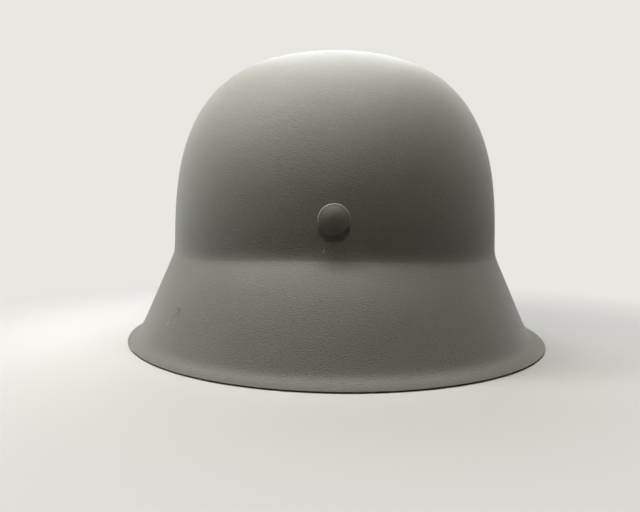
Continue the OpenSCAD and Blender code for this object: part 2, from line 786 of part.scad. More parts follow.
shell();
liner_rivet(rear);  // rivet_rear
liner_rivet(side_rivets[0]);  // rivet_left
liner_rivet(side_rivets[1]);  // rivet_right
rivet_washer(rear);  // washer_rear
rivet_washer(side_rivets[0]);  // washer_left
rivet_washer(side_rivets[1]);  // washer_right
outer_band();
inner_band();
leaf_spring(spring_angles[0]);  // spring_front
leaf_spring(spring_angles[1]);  // spring_front_left
leaf_spring(spring_angles[2]);  // spring_front_right
leaf_spring(spring_angles[3]);  // spring_rear_left
leaf_spring(spring_angles[4]);  // spring_rear_right
spring_foot_rivets();
spring_middle_rivets();
bail_bracket(left);  // bail_bracket_left
bail_bracket(right);  // bail_bracket_right
bracket_rivets();
felt_strip();
leather_liner();
leather_pins();
liner_lace();
lace_knot();
bail(left);  // bail_left
bail(right);  // bail_right
chin_strap_long();
from_side(left) strap_stud();  // strap_stud_long
chin_strap_short();
from_side(right) strap_stud();  // strap_stud_short
buckle_frame();
buckle_prong();
buckle_roller();
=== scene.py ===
"""Steel helmet with a flared skirt: paint and metal finishes, leather, felt and lace, and a studio stage."""

import json

import bmesh
import bpy
import numpy as np
from bpy.props import FloatProperty, FloatVectorProperty, IntProperty, PointerProperty
from mathutils import Euler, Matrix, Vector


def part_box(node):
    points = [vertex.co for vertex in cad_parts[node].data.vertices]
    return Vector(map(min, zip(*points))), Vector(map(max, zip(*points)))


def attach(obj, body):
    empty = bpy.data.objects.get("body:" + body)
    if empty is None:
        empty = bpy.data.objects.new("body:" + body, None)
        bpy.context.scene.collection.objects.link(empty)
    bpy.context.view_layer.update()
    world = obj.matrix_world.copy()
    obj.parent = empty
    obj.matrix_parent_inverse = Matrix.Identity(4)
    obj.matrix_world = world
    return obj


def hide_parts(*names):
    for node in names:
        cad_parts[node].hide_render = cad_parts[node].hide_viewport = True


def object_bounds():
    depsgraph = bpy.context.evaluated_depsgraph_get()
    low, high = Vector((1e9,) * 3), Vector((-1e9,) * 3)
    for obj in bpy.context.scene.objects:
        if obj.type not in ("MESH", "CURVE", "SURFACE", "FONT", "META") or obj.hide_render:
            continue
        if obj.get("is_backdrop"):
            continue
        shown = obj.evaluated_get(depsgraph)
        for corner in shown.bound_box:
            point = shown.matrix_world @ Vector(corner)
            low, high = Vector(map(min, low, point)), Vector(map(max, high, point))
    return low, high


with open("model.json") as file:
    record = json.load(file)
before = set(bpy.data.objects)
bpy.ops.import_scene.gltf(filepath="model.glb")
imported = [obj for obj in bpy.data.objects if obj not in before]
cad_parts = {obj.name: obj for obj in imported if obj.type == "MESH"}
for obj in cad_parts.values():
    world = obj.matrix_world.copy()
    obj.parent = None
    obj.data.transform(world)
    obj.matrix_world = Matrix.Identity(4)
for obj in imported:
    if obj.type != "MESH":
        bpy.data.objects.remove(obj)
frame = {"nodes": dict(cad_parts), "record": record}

bl_info = {
    "name": "Steel Helmet",
    "version": (1, 0, 0),
    "blender": (4, 5, 0),
    "location": "View3D > Sidebar > Helmet",
    "description": "Surfaces and finishes of a steel helmet with its liner and chin strap",
    "category": "Add Mesh",
}

MM = 0.001
# Angles round the helmet, in degrees from +X towards +Y
RIVETS = {"rear": 90, "left": 318, "right": 222}
VENTS = (0, 180)
SPRINGS = (270, 338, 202, 38, 142)
FINGERS = 8  # leather fingers over the head
# Rubs in the paint: from an angle and a height in mm to another angle and height, and the rub's width in mm
DARK_RUBS = (
    (51.6, 25.0, 53.0, 24.3, 1.0),
    (53.1, 24.4, 50.5, 20.0, 0.7),
    (52.7, 23.0, 53.2, 21.5, 0.6),
)
PALE_RUBS = (
    (49.3, 17.7, 49.1, 17.4, 1.1),
    (87.9, 54.2, 87.75, 53.0, 0.6),
)
RUB_R = 117 * MM  # distance from the helmet's axis at which the rubs are laid out
STRANDS = 3  # strands of which the lace is laid
LAY = 9 * MM  # length in which they turn once
STRAP_STEP = 0.8 * MM  # length of a cell along the strap
AIR = 0.3 * MM  # air under leather that lies on the surface or on itself
PRESS = 0.05 * MM  # how far a bar presses into the strap round it
NODES = frame["nodes"]
SLOT_OF = {part["node"]: part["material_slot"] for part in frame["record"]["subparts"]}


def linear(code):
    """Linear colour, with alpha, of an sRGB hex code."""
    c = np.array([int(code[i:i + 2], 16) for i in (1, 3, 5)]) / 255
    c = np.where(c <= 0.04045, c / 12.92, ((c + 0.055) / 1.055) ** 2.4)
    return tuple(float(x) for x in c) + (1.0,)


def size(name, description, millimetres):
    """A length that a user can change, kept in metres."""
    return FloatProperty(name=name, description=description, default=millimetres * MM, min=0.0,
                         unit="LENGTH", subtype="DISTANCE", precision=5)


def number(name, description, value, kind="NONE"):
    """A plain number that a user can change, of Blender's kind of unit."""
    return FloatProperty(name=name, description=description, default=value, unit=kind, precision=4)


def angle_of(name, description, degrees):
    """An angle that a user can change, kept in radians."""
    return FloatProperty(name=name, description=description, default=np.radians(degrees), unit="ROTATION",
                         subtype="ANGLE", precision=4)


def hex_colour(name, description, code):
    """A colour that a user can change, given as an sRGB hex code."""
    return FloatVectorProperty(name=name, description=description, subtype="COLOR", size=4, min=0, max=1,
                               default=linear(code))


# Sizes and colours


class ShellSizes(bpy.types.PropertyGroup):
    """Sizes of the pressed shell, measured on its inside face."""
    inner_w: size("Inside width", "Inside width of the shell at its waist", 185)
    inner_l: size("Inside length", "Inside length of the shell at its waist", 223)
    crown_z: size("Crown height", "Height of the inside of the crown over the rim", 160)
    sheet: size("Sheet", "Thickness of the pressed steel sheet", 1.2)
    waist_z: size("Waist height", "Height of the waist, where the dome turns out into the skirt", 48.9)
    brow_rise: size("Brow rise", "How much higher the waist is at the brow", 6)
    visor_rise: size("Visor rise", "Height of the visor's rim over the rim at the ears", 28)
    side_flare: size("Side flare", "How far the skirt stands out at the ears", 20.4)
    neck_flare: size("Neck flare", "How far the skirt stands out at the neck", 25.2)
    visor_flare: size("Visor flare", "How far the visor stands out at the brow", 21.6)
    waist_bend: size("Waist bend", "Radius of the soft bend at the waist", 3)
    waist_sag: size("Waist sag", "How much lower the bend lies between the ears and the neck", 1.8)
    shoulder: number("Shoulder", "Share of the neck's flare in the soft shoulder under the waist", 0.30)
    shoulder_drop: size("Shoulder drop", "Height over which the shoulder dies away", 12)
    lip_out: size("Lip", "How far the raw lip turns out", 7.7)
    lip_neck: size("Neck lip", "How much less the lip turns out at the neck", 4.7)
    lip_drop: size("Lip height", "Height over which the lip turns out", 3.8)
    lip_curl: number("Lip curl", "Share of the lip's slope that turns down again before the edge", 0.8)
    lip_trim: size("Lip trim", "How much shorter the lip was cut behind the wearer's left ear", 2.4)
    trim_at: angle_of("Lip trim place", "Angle from the left side towards the neck of the shortest lip", 28)
    side_full: number("Side fullness", "Fullness of the dome over the ears, where 2 is an ellipse", 2.88)
    neck_full: number("Neck fullness", "Fullness of the dome at the neck", 2.6)
    brow_full: number("Brow fullness", "Fullness of the dome at the brow", 2.35)
    temple_start: angle_of("Temple start", "Angle from the front where the visor's rim starts to drop", 44)
    temple_end: angle_of("Temple end", "Angle from the front where the rim reaches the ears", 84)
    edge: size("Edge rounding", "Radius of the rubbed corners of the raw edge", 0.35)
    vent_z: size("Vent height", "Height of the air vents over the rim", 88)
    vent_hole_r: size("Vent hole", "Radius of the vent's hole", 2.5)
    vent_ring_r: size("Vent ring", "Radius of the ring stamped up around the vent's hole", 6.2)
    vent_ring_h: size("Vent ring height", "Height of the stamped ring", 1.0)
    rivet_z: size("Rivet height", "Height of the three liner rivets over the rim", 67)
    hole_r: size("Shank hole", "Radius of the holes for the liner rivets", 2.4)
    shank_r: size("Shank", "Radius of a liner rivet's split shank", 2.3)
    head_r: size("Rivet head", "Radius of a liner rivet's head", 6.9)
    head_h: size("Rivet head height", "Height of a liner rivet's head", 3.1)
    head_dome: size("Rivet dome", "How far the head's face is domed", 1.4)
    head_edge: size("Rivet edge", "Radius of the rounded edge of the head", 0.8)
    leg_l: size("Rivet leg", "Length of each bent leg of the split shank", 10)
    leg_t: size("Rivet leg thickness", "Thickness of each bent leg", 1)
    columns: IntProperty(name="Columns", description="Columns of the shell's mesh", default=320, min=64)


class LinerSizes(bpy.types.PropertyGroup):
    """Sizes of the leather liner, its felt and its lace. Offsets are measured from inside the waist."""
    leather_t: size("Leather", "Thickness of the sweatband's leather", 1.5)
    finger_t: size("Finger leather", "Thickness of the skived fingers", 1.2)
    fold_in: size("Fold", "How far inside the waist the middle of the folded edge lies", 6.55)
    band_in: size("Sweatband", "How far inside the waist the middle of the sweatband lies", 10.45)
    fold_top: size("Fold top", "Height of the folded edge's end on the inner band", 63.5)
    turn_z: size("Fold turn", "Height where the leather starts to turn under the inner band", 59.4)
    turn_drop: size("Fold drop", "How far the leather's middle hangs below that height", 1.25)
    top_z: size("Sweatband top", "Height where the fingers rise from the sweatband", 83)
    finger_rise: size("Finger rise", "Height of the drawn-in fingers over the sweatband", 50)
    finger_half: angle_of("Finger half angle", "Half the angle that one finger covers", 19.5)
    dome_full: number("Lining fullness", "Fullness of the fingers' dome, where 2 is an ellipse", 2.2)
    crown_hole: number("Crown hole", "Share of the liner's width that the hole in the middle takes", 0.27)
    lace_share: number("Lace circle", "Share of the liner's width where the lace runs", 0.37)
    slot_l: size("Lace slot", "Length of the slots for the lace", 9.5)
    lace_r: size("Lace", "Radius of the lace", 1.2)
    lace_weave: size("Lace weave", "How far the lace passes over and under the fingers", 2.25)
    felt_in: size("Felt", "How far inside the waist the felt's outer face lies", 8.2)
    felt_t: size("Felt thickness", "Thickness of the felt strip", 1.4)
    felt_z: size("Felt foot", "Height of the felt strip's lower edge", 64)
    head_room_r: size("Rivet hole", "Radius of the felt's holes for the spring rivets", 2.4)
    spring_z: size("Spring height", "Height of the middle of the leaf springs", 72)


class StrapSizes(bpy.types.PropertyGroup):
    """Sizes of the two halves of the chin strap, and where their hinges and bars lie."""
    width: size("Width", "Width of the chin strap", 15)
    thick: size("Thickness", "Thickness of the strap leather", 1.8)
    wire_r: size("Wire", "Radius of the bars that the strap goes round", 1.2)
    hinge_x: size("Hinge", "Distance of each bail's hinge from the middle of the helmet", 89.15)
    bar_z: size("Bar height", "Height of the bail's lower bar over the surface", 41)
    fold_l: size("Folded end", "Length of the folded end that the stud holds", 26)
    stud_z: size("Stud height", "Height of the stud over the surface", 23)
    stud_hole_r: size("Stud hole", "Radius of the hole for the stud", 1.7)
    floor_bend: size("Turn", "Radius of the bend where the strap turns onto the surface", 12)
    long_run: size("Long run", "Length of the long strap's run on the surface", 60)
    long_back: size("Long end", "Length of the long strap's end that lies back over its run", 50)
    fold_bend: size("Fold", "Radius of the long strap's fold over itself", 5)
    short_run: size("Short run", "Length of the short strap's run up to the buckle's bar", 42)
    buckle_fold: size("Buckle fold", "Length of the folded end that holds the buckle", 22)
    prong_hole_r: size("Prong hole", "Radius of the holes for the prong", 1.2)
    prong_step: size("Hole spacing", "Distance between the holes for the prong", 8)
    prong_holes: IntProperty(name="Prong holes", description="Number of the prong's holes", default=5, min=1)
    slot_w: size("Prong slot", "Width of the slot for the prong", 3.2)
    slot_l: size("Prong slot length", "How far the slot reaches back from the buckle's bar", 5)
    tip: size("Tip", "Length of the pointed tip", 4.95)


class Finishes(bpy.types.PropertyGroup):
    """Colours of the finishes."""
    paint: hex_colour("Paint", "Matt field-grey paint of the shell and its rivets", "#757366")
    zinc: hex_colour("Zinc plate", "Dull zinc plate of washers, small rivets and studs", "#b4b5b0")
    band: hex_colour("Galvanised strip", "Galvanised steel of the two liner bands", "#a6a8a3")
    spring: hex_colour("Spring steel", "Rolled spring steel of the leaf springs", "#b9bab6")
    wire: hex_colour("Enamelled wire", "Grey enamelled steel of bails, brackets and buckle", "#6c6e68")
    liner: hex_colour("Liner leather", "Vegetable-tanned leather of the sweatband and its fingers", "#7d5636")
    strap: hex_colour("Strap leather", "Oiled brown leather of the chin strap", "#4a3120")
    lace: hex_colour("Lace", "Natural cotton of the lace", "#bfae8c")
    felt: hex_colour("Felt", "Grey wool felt behind the sweatband", "#8f8b7e")


# Surfaces


def ease(x):
    """Smooth step: 3x² - 2x³, held at 0 and 1 outside."""
    c = np.clip(x, 0, 1)
    return c * c * (3 - 2 * c)


def ramp(d, k):
    """A bend from level to slope 1 at d = 0, as wide as k: (d + √(d² + k²)) / 2."""
    return (d + np.sqrt(d * d + k * k)) / 2


def superellipse(x, n):
    """Height of a superellipse at x, which undoes itself: (1 - xⁿ)^(1/n)."""
    return (1 - np.clip(x, 0, 1) ** n) ** (1 / n)


def unit(v):
    """Vectors of length one in the same directions."""
    return v / np.maximum(np.linalg.norm(v, axis=-1, keepdims=True), 1e-12)


def stack(*coordinates):
    """Coordinates as one array of points."""
    return np.stack(np.broadcast_arrays(*coordinates), axis=-1)


def round_mix(t, side, back, front):
    """A value that goes with sin² of the angle from the sides to the back and to the front."""
    return side + (np.where(np.sin(t) > 0, back, front) - side) * np.sin(t) ** 2


def waist(s, t):
    """The inside of the waist: an ellipse of the inside width and length, at angle t from +X towards +Y."""
    return stack(s.inner_w / 2 * np.cos(t), s.inner_l / 2 * np.sin(t), 0 * t)


def facing(s, t):
    """Straight out of the waist's ellipse: the gradient of its equation, of length one."""
    return unit(stack(s.inner_l * np.cos(t), s.inner_w * np.sin(t), 0 * t))


def visor_share(s, t):
    """1 under the brow and 0 behind the temples, by a smooth step of the angle from the front."""
    from_front = np.abs((t + 1.5 * np.pi) % (2 * np.pi) - np.pi)
    return ease((s.temple_end - from_front) / (s.temple_end - s.temple_start))


def rim_height(s, t):
    """Height of the rim: level behind the temples, and up to the visor's in front."""
    return s.visor_rise * visor_share(s, t)


def waist_height(s, t):
    """Height of the waist, a little higher at the brow and lower between the ears and the neck."""
    sag = np.where(np.sin(t) > 0, np.sin(2 * t) ** 2, 0)
    return s.waist_z + s.brow_rise * visor_share(s, t) - s.waist_sag * sag


def neck_share(t):
    """1 at the neck and 0 from the ears forwards: the square of the sine."""
    return np.maximum(np.sin(t), 0) ** 2


def flare(s, t, z):
    """How far the skirt stands out: a bent ramp from the waist down, with a soft shoulder under the waist at
    the neck that dies away as 1 - e^(-d), and the lip, which is trimmed by cos⁴ of the angle to one place."""
    wz, rz = waist_height(s, t), rim_height(s, t)
    down, whole = ramp(wz - z, s.waist_bend), ramp(wz - rz, s.waist_bend)
    part = s.shoulder * neck_share(t)
    soft = (1 - np.exp(-down / s.shoulder_drop)) / (1 - np.exp(-whole / s.shoulder_drop))
    skirt = (1 - part) * down / whole + part * soft
    trim = s.lip_trim * np.maximum(np.cos(t - s.trim_at), 0) ** 4 + s.lip_neck * neck_share(t)
    return (round_mix(t, s.side_flare, s.neck_flare, s.visor_flare) * skirt
            + (s.lip_out - trim) * lip_share(s, z - rz) / lip_share(s, 0))


def lip_share(s, up):
    """How far the lip is turned out at a height over the rim: a ramp turns it out, and a second, weaker one
    curls it down again before the edge."""
    bend, curl_from = s.lip_drop / 2, s.lip_drop * 0.42
    return ramp(s.lip_drop - up, bend) - s.lip_curl * ramp(curl_from - up, bend)


def dome_share(s, t, z):
    """Share of the waist's outline at height z: a superellipse of the height over the waist."""
    wz = waist_height(s, t)
    return superellipse((z - wz) / (s.crown_z - wz), round_mix(t, s.side_full, s.neck_full, s.brow_full))


def inside(s, t, v):
    """Inside face of the shell: v runs from 0 at the crown over 1 at the waist to 2 at the rim.
    Each point is the waist's ellipse, plus the flare straight out of it, times the dome's share. Below the
    waist a sine draws the rows together at the waist and at the rim."""
    wz = waist_height(s, t)
    u, drawn = v - 1, 0.09
    z = np.where(v <= 1, wz + (s.crown_z - wz) * np.cos(np.pi / 2 * np.minimum(v, 1)),
                 wz + (rim_height(s, t) - wz) * (u - drawn * np.sin(2 * np.pi * u)))
    point = dome_share(s, t, z)[..., None] * (waist(s, t) + facing(s, t) * flare(s, t, z)[..., None])
    point[..., 2] = z
    return point


def sheet_normal(surface, t, q, last, turn=0.006):
    """Straight out of a surface of angle t and depth q, which goes as deep as last: the cross product of its
    slopes down and round it, of length one."""
    e = 0.004
    q1 = np.clip(q + e, 2 * e, last)
    down, round_it = surface(t, q1) - surface(t, q1 - 2 * e), surface(t + turn, q) - surface(t - turn, q)
    return unit(np.cross(down, round_it))


def outward(s, t, v):
    """Straight out of the inside face, and straight up at the crown's pole."""
    n = sheet_normal(lambda a, b: inside(s, a, b), t, v, 2, turn=0.009)
    return np.where(v[..., None] < 1e-6, (0.0, 0.0, 1.0), n)


def metres_per_step(surface, a, b):
    """Metres that a surface covers for a step of each of its two parameters, by differences at (a, b)."""
    e = 1e-3
    return (np.linalg.norm(surface(a + e, b) - surface(a - e, b)) / (2 * e),
            np.linalg.norm(surface(a, b + e) - surface(a, b - e)) / (2 * e))


def hole_radii(radius):
    """Radii of the rings round a hole that goes out to the second ring."""
    return [0, radius / 2, radius, radius * 1.4]


def cut_hole(grid, cells, centre, scale, row, column, radii, reach, edge=2, stretch=(1.0, 1.0), step=None):
    """Makes a round hole at grid point (row, column): the square rings of cells round it are turned into
    round ones, and the cells inside ring edge are left out. grid holds two parameters, scale turns a step of
    each into metres, and ring m has radii[m]. Past the last radius the rings go on by step, and go back by a
    smooth step to the square, which they are at ring reach. stretch makes them oval. A sheet with one cell
    for each of its columns closes on itself, and its second parameter is an angle."""
    closed = cells.shape[1] == grid.shape[2]
    steps = np.arange(-reach, reach + 1)
    window = np.ix_([0, 1], row + steps, (column + steps) % grid.shape[2] if closed else column + steps)
    j, i = np.meshgrid(steps, steps, indexing="ij")
    m = np.maximum(np.abs(i), np.abs(j))
    last = len(radii) - 1
    step = step or max(radii[-1] - radii[-2], 0.4 * MM)
    radius = np.where(m <= last, np.array(radii)[np.minimum(m, last)], radii[-1] + (m - last) * step)
    away = radius / np.maximum(np.hypot(i, j), 1)
    centre = np.array(centre)[:, None, None]
    circle = np.stack([j * away * stretch[0], i * away * stretch[1]]) / np.array(scale)[:, None, None]
    plain = grid[window] - centre
    if closed:
        plain[1] = (plain[1] + np.pi) % (2 * np.pi) - np.pi
    share = ease((m - last) / (reach - last))
    grid[window] = centre + circle * (1 - share) + plain * share
    inner = np.arange(-edge, edge)
    cells[np.ix_(row + inner, (column + inner) % cells.shape[1])] = False


def sheet_mesh(name, outer, inner, cells=None, wrap=True, attributes=None):
    """A closed sheet between two grids of points: quads on both skins, and a wall along each edge of its
    cells. Rows run down and columns anticlockwise seen from above. Points that meet are merged, and a quad
    that folds to nothing is dropped, so poles and seams are closed."""
    rows, columns = outer.shape[:2]
    if cells is None:
        cells = np.ones((rows - 1, columns if wrap else columns - 1), bool)
    number_of = np.arange(rows * columns).reshape(rows, columns)
    right = np.roll(number_of, -1, axis=1) if wrap else number_of[:, 1:]
    left = number_of if wrap else number_of[:, :-1]
    a, b, c, d = left[:-1], right[:-1], right[1:], left[1:]
    under = rows * columns

    def wall(there, p, q):
        return np.stack([p[there], q[there], q[there] + under, p[there] + under], axis=-1)

    above = np.vstack([np.zeros_like(cells[:1]), cells[:-1]])
    below = np.vstack([cells[1:], np.zeros_like(cells[:1])])
    before = np.roll(cells, 1, axis=1)
    after = np.roll(cells, -1, axis=1)
    if not wrap:
        before[:, 0] = False
        after[:, -1] = False
    quads = np.concatenate([
        np.stack([a, d, c, b], axis=-1)[cells],
        (np.stack([a, b, c, d], axis=-1) + under)[cells],
        wall(cells & ~above, a, b), wall(cells & ~below, c, d),
        wall(cells & ~before, d, a), wall(cells & ~after, b, c)])
    points = np.concatenate([outer.reshape(-1, 3), inner.reshape(-1, 3)])
    both = {key: np.concatenate([value.ravel(), value.ravel()]) for key, value in (attributes or {}).items()}
    return build_mesh(name, points, quads, both)


def rings_mesh(name, rings):
    """A mesh of rings of points, each joined to the next and closed on itself."""
    index = np.arange(rings.shape[0] * rings.shape[1]).reshape(rings.shape[:2])
    ahead = np.roll(index, -1, axis=1)
    quads = np.stack([index[:-1], index[1:], ahead[1:], ahead[:-1]], axis=-1).reshape(-1, 4)
    return build_mesh(name, rings.reshape(-1, 3), quads)


def build_mesh(name, points, quads, attributes=None):
    """A mesh of these quads, with points that meet merged, folded quads dropped and loose points left out."""
    _, first, merged = np.unique(np.round(points * 1e7).astype(np.int64), axis=0,
                                 return_index=True, return_inverse=True)
    quads = merged.reshape(-1)[quads]
    kept = quads != np.roll(quads, -1, axis=1)
    sides = kept.sum(axis=1)
    whole = sides > 2
    loops = quads[whole][kept[whole]]
    used, loops = np.unique(loops, return_inverse=True)
    sides = sides[whole]
    mesh = bpy.data.meshes.new(name)
    mesh.vertices.add(len(used))
    mesh.vertices.foreach_set("co", points[first[used]].astype(np.float32).ravel())
    mesh.loops.add(len(loops))
    mesh.loops.foreach_set("vertex_index", loops.reshape(-1).astype(np.int32))
    mesh.polygons.add(len(sides))
    mesh.polygons.foreach_set("loop_start", np.concatenate([[0], np.cumsum(sides)[:-1]]).astype(np.int32))
    mesh.update(calc_edges=True)
    mesh.shade_smooth()
    for key, value in (attributes or {}).items():
        made = mesh.attributes.new(key, "FLOAT", "POINT")
        made.data.foreach_set("value", value[first[used]].astype(np.float32))
    return mesh


def add_piece(name, mesh, body, material, *nodes):
    """Puts a mesh into the scene as a piece that rides on a body and stands for CAD nodes."""
    piece = bpy.data.objects.new(name, mesh)
    bpy.context.scene.collection.objects.link(piece)
    mesh.materials.append(material)
    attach(piece, body)
    if nodes:
        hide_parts(*nodes)
    return piece


def shell_grid(s):
    """Parameters of the shell's mesh, denser at the waist and the lip: depth v and angle t."""
    dome_rows, skirt_rows = 75, 45
    dome = 1 - (1 - np.linspace(0, 1, dome_rows)) ** 1.25
    skirt = 1 + np.linspace(0, 1, skirt_rows)[1:-1]
    t = 2 * np.pi * np.arange(s.columns) / s.columns
    return np.stack(np.meshgrid(np.concatenate([dome, skirt]), t, indexing="ij"))


def nearest(rows, value):
    """Number of the row whose value is nearest."""
    return int(np.abs(rows - value).argmin())


def nearest_column(angle, columns):
    """Number of the column at an angle, of columns that go evenly round."""
    return int(round(angle / (2 * np.pi) * columns)) % columns


def depth_at(s, t, z):
    """Depth v of the dome at height z: the height's cosine undone."""
    wz = waist_height(s, t)
    return np.arccos((z - wz) / (s.crown_z - wz)) * 2 / np.pi


def hole_place(s, grid, angle, z):
    """A hole's centre in the shell's two parameters, metres for a step of each, and the nearest row and
    column."""
    t = np.array(angle)
    v = depth_at(s, t, z)
    scale = metres_per_step(lambda b, a: inside(s, a, b), v, t)
    return (float(v), float(angle)), scale, nearest(grid[0, :, 0], v), nearest_column(angle, s.columns)


def shell_mesh(s):
    """The pressed shell: the inside face, and the same face one sheet further out along its normal.
    The stamped rings lift both skins, and so does a faint wave of the pressing that fades out at the rim and
    the crown. The raw edge is cut square to the sheet."""
    grid = shell_grid(s)
    cells = np.ones((grid.shape[1] - 1, grid.shape[2]), bool)
    lift = np.zeros(grid.shape[1:])
    hole, ring = s.vent_hole_r, s.vent_ring_r
    vent_radii = [0, hole / 3, hole * 2 / 3, *np.linspace(hole, ring + 1 * MM, 7)]
    for angle in np.radians(VENTS):
        centre, scale, row, column = hole_place(s, grid, angle, s.vent_z)
        cut_hole(grid, cells, centre, scale, row, column, vent_radii, 15, edge=3)
        turn = (grid[1] - centre[1] + np.pi) % (2 * np.pi) - np.pi
        away = np.hypot((grid[0] - centre[0]) * scale[0], turn * scale[1])
        crest = 0.55 + 0.45 * ease((away - hole) / (0.9 * MM))
        lift += s.vent_ring_h * crest * ease((ring + 0.3 * MM - away) / (1.5 * MM))
    for angle in np.radians(list(RIVETS.values())):
        cut_hole(grid, cells, *hole_place(s, grid, angle, s.rivet_z), hole_radii(s.hole_r), 9)
    v, t = grid
    inner = inside(s, t, v)
    normal = outward(s, t, v)
    wave = np.sin(2.3 * np.pi * v + 5 * t) * np.cos(3 * t - 1.4 * v) + 0.6 * np.sin(7 * t + 3.1 * v * np.pi)
    wave_h = 0.09 * MM
    lift += wave_h * wave * ease(v * 2) * ease((1.9 - v) * 4)
    inner = inner + normal * lift[..., None]
    outer = inner + normal * s.sheet
    inner, outer = add_raw_edge(s, t[0], inner, outer)
    more = inner.shape[0] - v.shape[0]
    cells = np.vstack([cells, np.ones((more, cells.shape[1]), bool)])
    depth = np.vstack([v, np.full((more, v.shape[1]), 2.0)])
    # Lighter paint along the raw edge: partly rubbed paint and partly a painted highlight on its corner
    worn = ease((depth - 1.985) / 0.015)
    # Darker paint just above the waist: partly soiling and partly painted shade in the crease
    dirt_and_shade_mask = ease((depth - 0.86) / 0.12) * (1 - ease((depth - 1.0) / 0.03))
    return sheet_mesh("shell", outer, inner, cells, attributes={"edge_wear_and_highlight": worn, "waist_dirt_and_shade": dirt_and_shade_mask})


def add_raw_edge(s, t, inner, outer):
    """Adds the rows of the raw edge to both skins. It is cut square to the sheet, so that its inner corner
    stands on the surface, and each corner is a quadratic curve from the skin to the cut."""
    v = np.full_like(t, 2.0)
    corner = inside(s, t, v)
    up = unit(inside(s, t, v - 0.01) - corner)
    across = outward(s, t, v)
    share = np.linspace(0, 1, 6)[:, None, None]
    sharp = 2 * share * (1 - share)

    def rounded(corner, turn):
        start, end = corner + up * s.edge, corner + across * turn * s.edge
        return start * (1 - share) ** 2 + corner * sharp + end * share ** 2

    return (np.concatenate([inner, rounded(corner, 1)]),
            np.concatenate([outer, rounded(corner + across * s.sheet, -1)]))


def revolved(name, profile, place):
    """A body turned from a profile of heights and radii that starts and ends on the axis."""
    sides = 56
    a = 2 * np.pi * np.arange(sides) / sides
    height, radius = profile[:, :1], profile[:, 1:]
    return rings_mesh(name, place(height + 0 * a, radius * np.cos(a), radius * np.sin(a)))


def joined(name, meshes):
    """Several closed surfaces as one mesh."""
    whole = bmesh.new()
    for part in meshes:
        whole.from_mesh(part)
    mesh = bpy.data.meshes.new(name)
    whole.to_mesh(mesh)
    whole.free()
    mesh.shade_smooth()
    return mesh


def liner_rivet_mesh(s, angle):
    """One of the three split rivets: a head with a parabolic dome and a quarter-round edge that sits on the
    highest point of the shell under it, a shank, and two D-shaped legs bent flat, with round ends."""
    t = np.radians(angle)
    out = facing(s, t)
    side = np.array((-out[1], out[0], 0.0))
    origin = waist(s, t) + np.array((0, 0, s.rivet_z))

    def place(x, y, z):
        return origin + x[..., None] * out + y[..., None] * side + z[..., None] * np.array((0, 0, 1.0))

    a = np.linspace(0, 2 * np.pi, 49)
    around = t + s.head_r * np.cos(a) / np.linalg.norm(waist(s, t + 0.5) - waist(s, t - 0.5))
    v = depth_at(s, around, s.rivet_z + s.head_r * np.sin(a))
    gap, bevel = 0.1 * MM, 0.3 * MM
    seat = ((inside(s, around, v) + outward(s, around, v) * s.sheet - origin) @ out).max() + gap
    leg_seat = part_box("rivet_rear")[0][1] - s.inner_l / 2 + s.leg_t
    flat_r = s.head_r - s.head_edge
    share = np.linspace(0, 1, 12)[:, None]
    dome = np.hstack([seat + s.head_h - s.head_dome * share ** 2, flat_r * share])
    shoulder = s.head_h - s.head_dome - s.head_edge
    turn = arc((0, 0), s.head_edge, 70, 0, 8)
    edge = np.stack([seat + shoulder + turn[:, 1], flat_r + turn[:, 0]], axis=1)
    foot = [[seat + gap, s.head_r], [seat, s.head_r - gap], [seat, s.head_r - bevel],
            [seat, s.shank_r + gap], [seat, s.shank_r], [seat - gap, s.shank_r],
            [leg_seat - s.leg_t * 0.6, s.shank_r], [leg_seat - s.leg_t * 0.8, s.shank_r - bevel],
            [leg_seat - s.leg_t * 0.8, 0]]
    parts = [revolved("head", np.concatenate([dome, edge, foot]), place)]
    half_w = s.shank_r - bevel
    u = np.sin(np.linspace(-np.pi / 2, np.pi / 2, 15))[:, None]
    y = bevel + (s.leg_l + half_w - bevel) * np.sin(np.linspace(0, np.pi / 2, 24))
    past = np.clip((y - s.leg_l) / half_w, 0, 1)
    width = half_w * np.sqrt(1 - past ** 2)
    thick = s.leg_t * (0.4 + 0.6 * np.sqrt(1 - u ** 2)) * np.sqrt(1 - 0.8 * past ** 2)
    for way in (-1, 1):
        skins = [place(leg_seat - depth, way * y + 0 * u, way * u * width) for depth in (0 * thick, thick)]
        parts.append(sheet_mesh("leg", skins[0], skins[1], wrap=False))
    return joined("liner_rivet", parts)


def leather_middle(shell, s, t, q):
    """Middle of the leather. q runs down the folded edge from 0 to 1, round under the inner band on half an
    ellipse to 2, up the sweatband to 3 and over the head to 4, where it shrinks as a superellipse."""
    middle, half = (s.fold_in + s.band_in) / 2, (s.band_in - s.fold_in) / 2
    round_it = np.pi * np.clip(q - 1, 0, 1)
    inwards = middle - half * np.cos(round_it)
    z = np.where(q < 1, s.fold_top + (s.turn_z - s.fold_top) * q, s.turn_z - s.turn_drop * np.sin(round_it))
    z = z + (s.top_z - s.turn_z) * np.clip(q - 2, 0, 1) + s.finger_rise * np.maximum(q - 3, 0)
    point = waist(shell, t) - facing(shell, t) * inwards[..., None]
    point = point * superellipse(q - 3, s.dome_full)[..., None]
    point[..., 2] = z
    return point


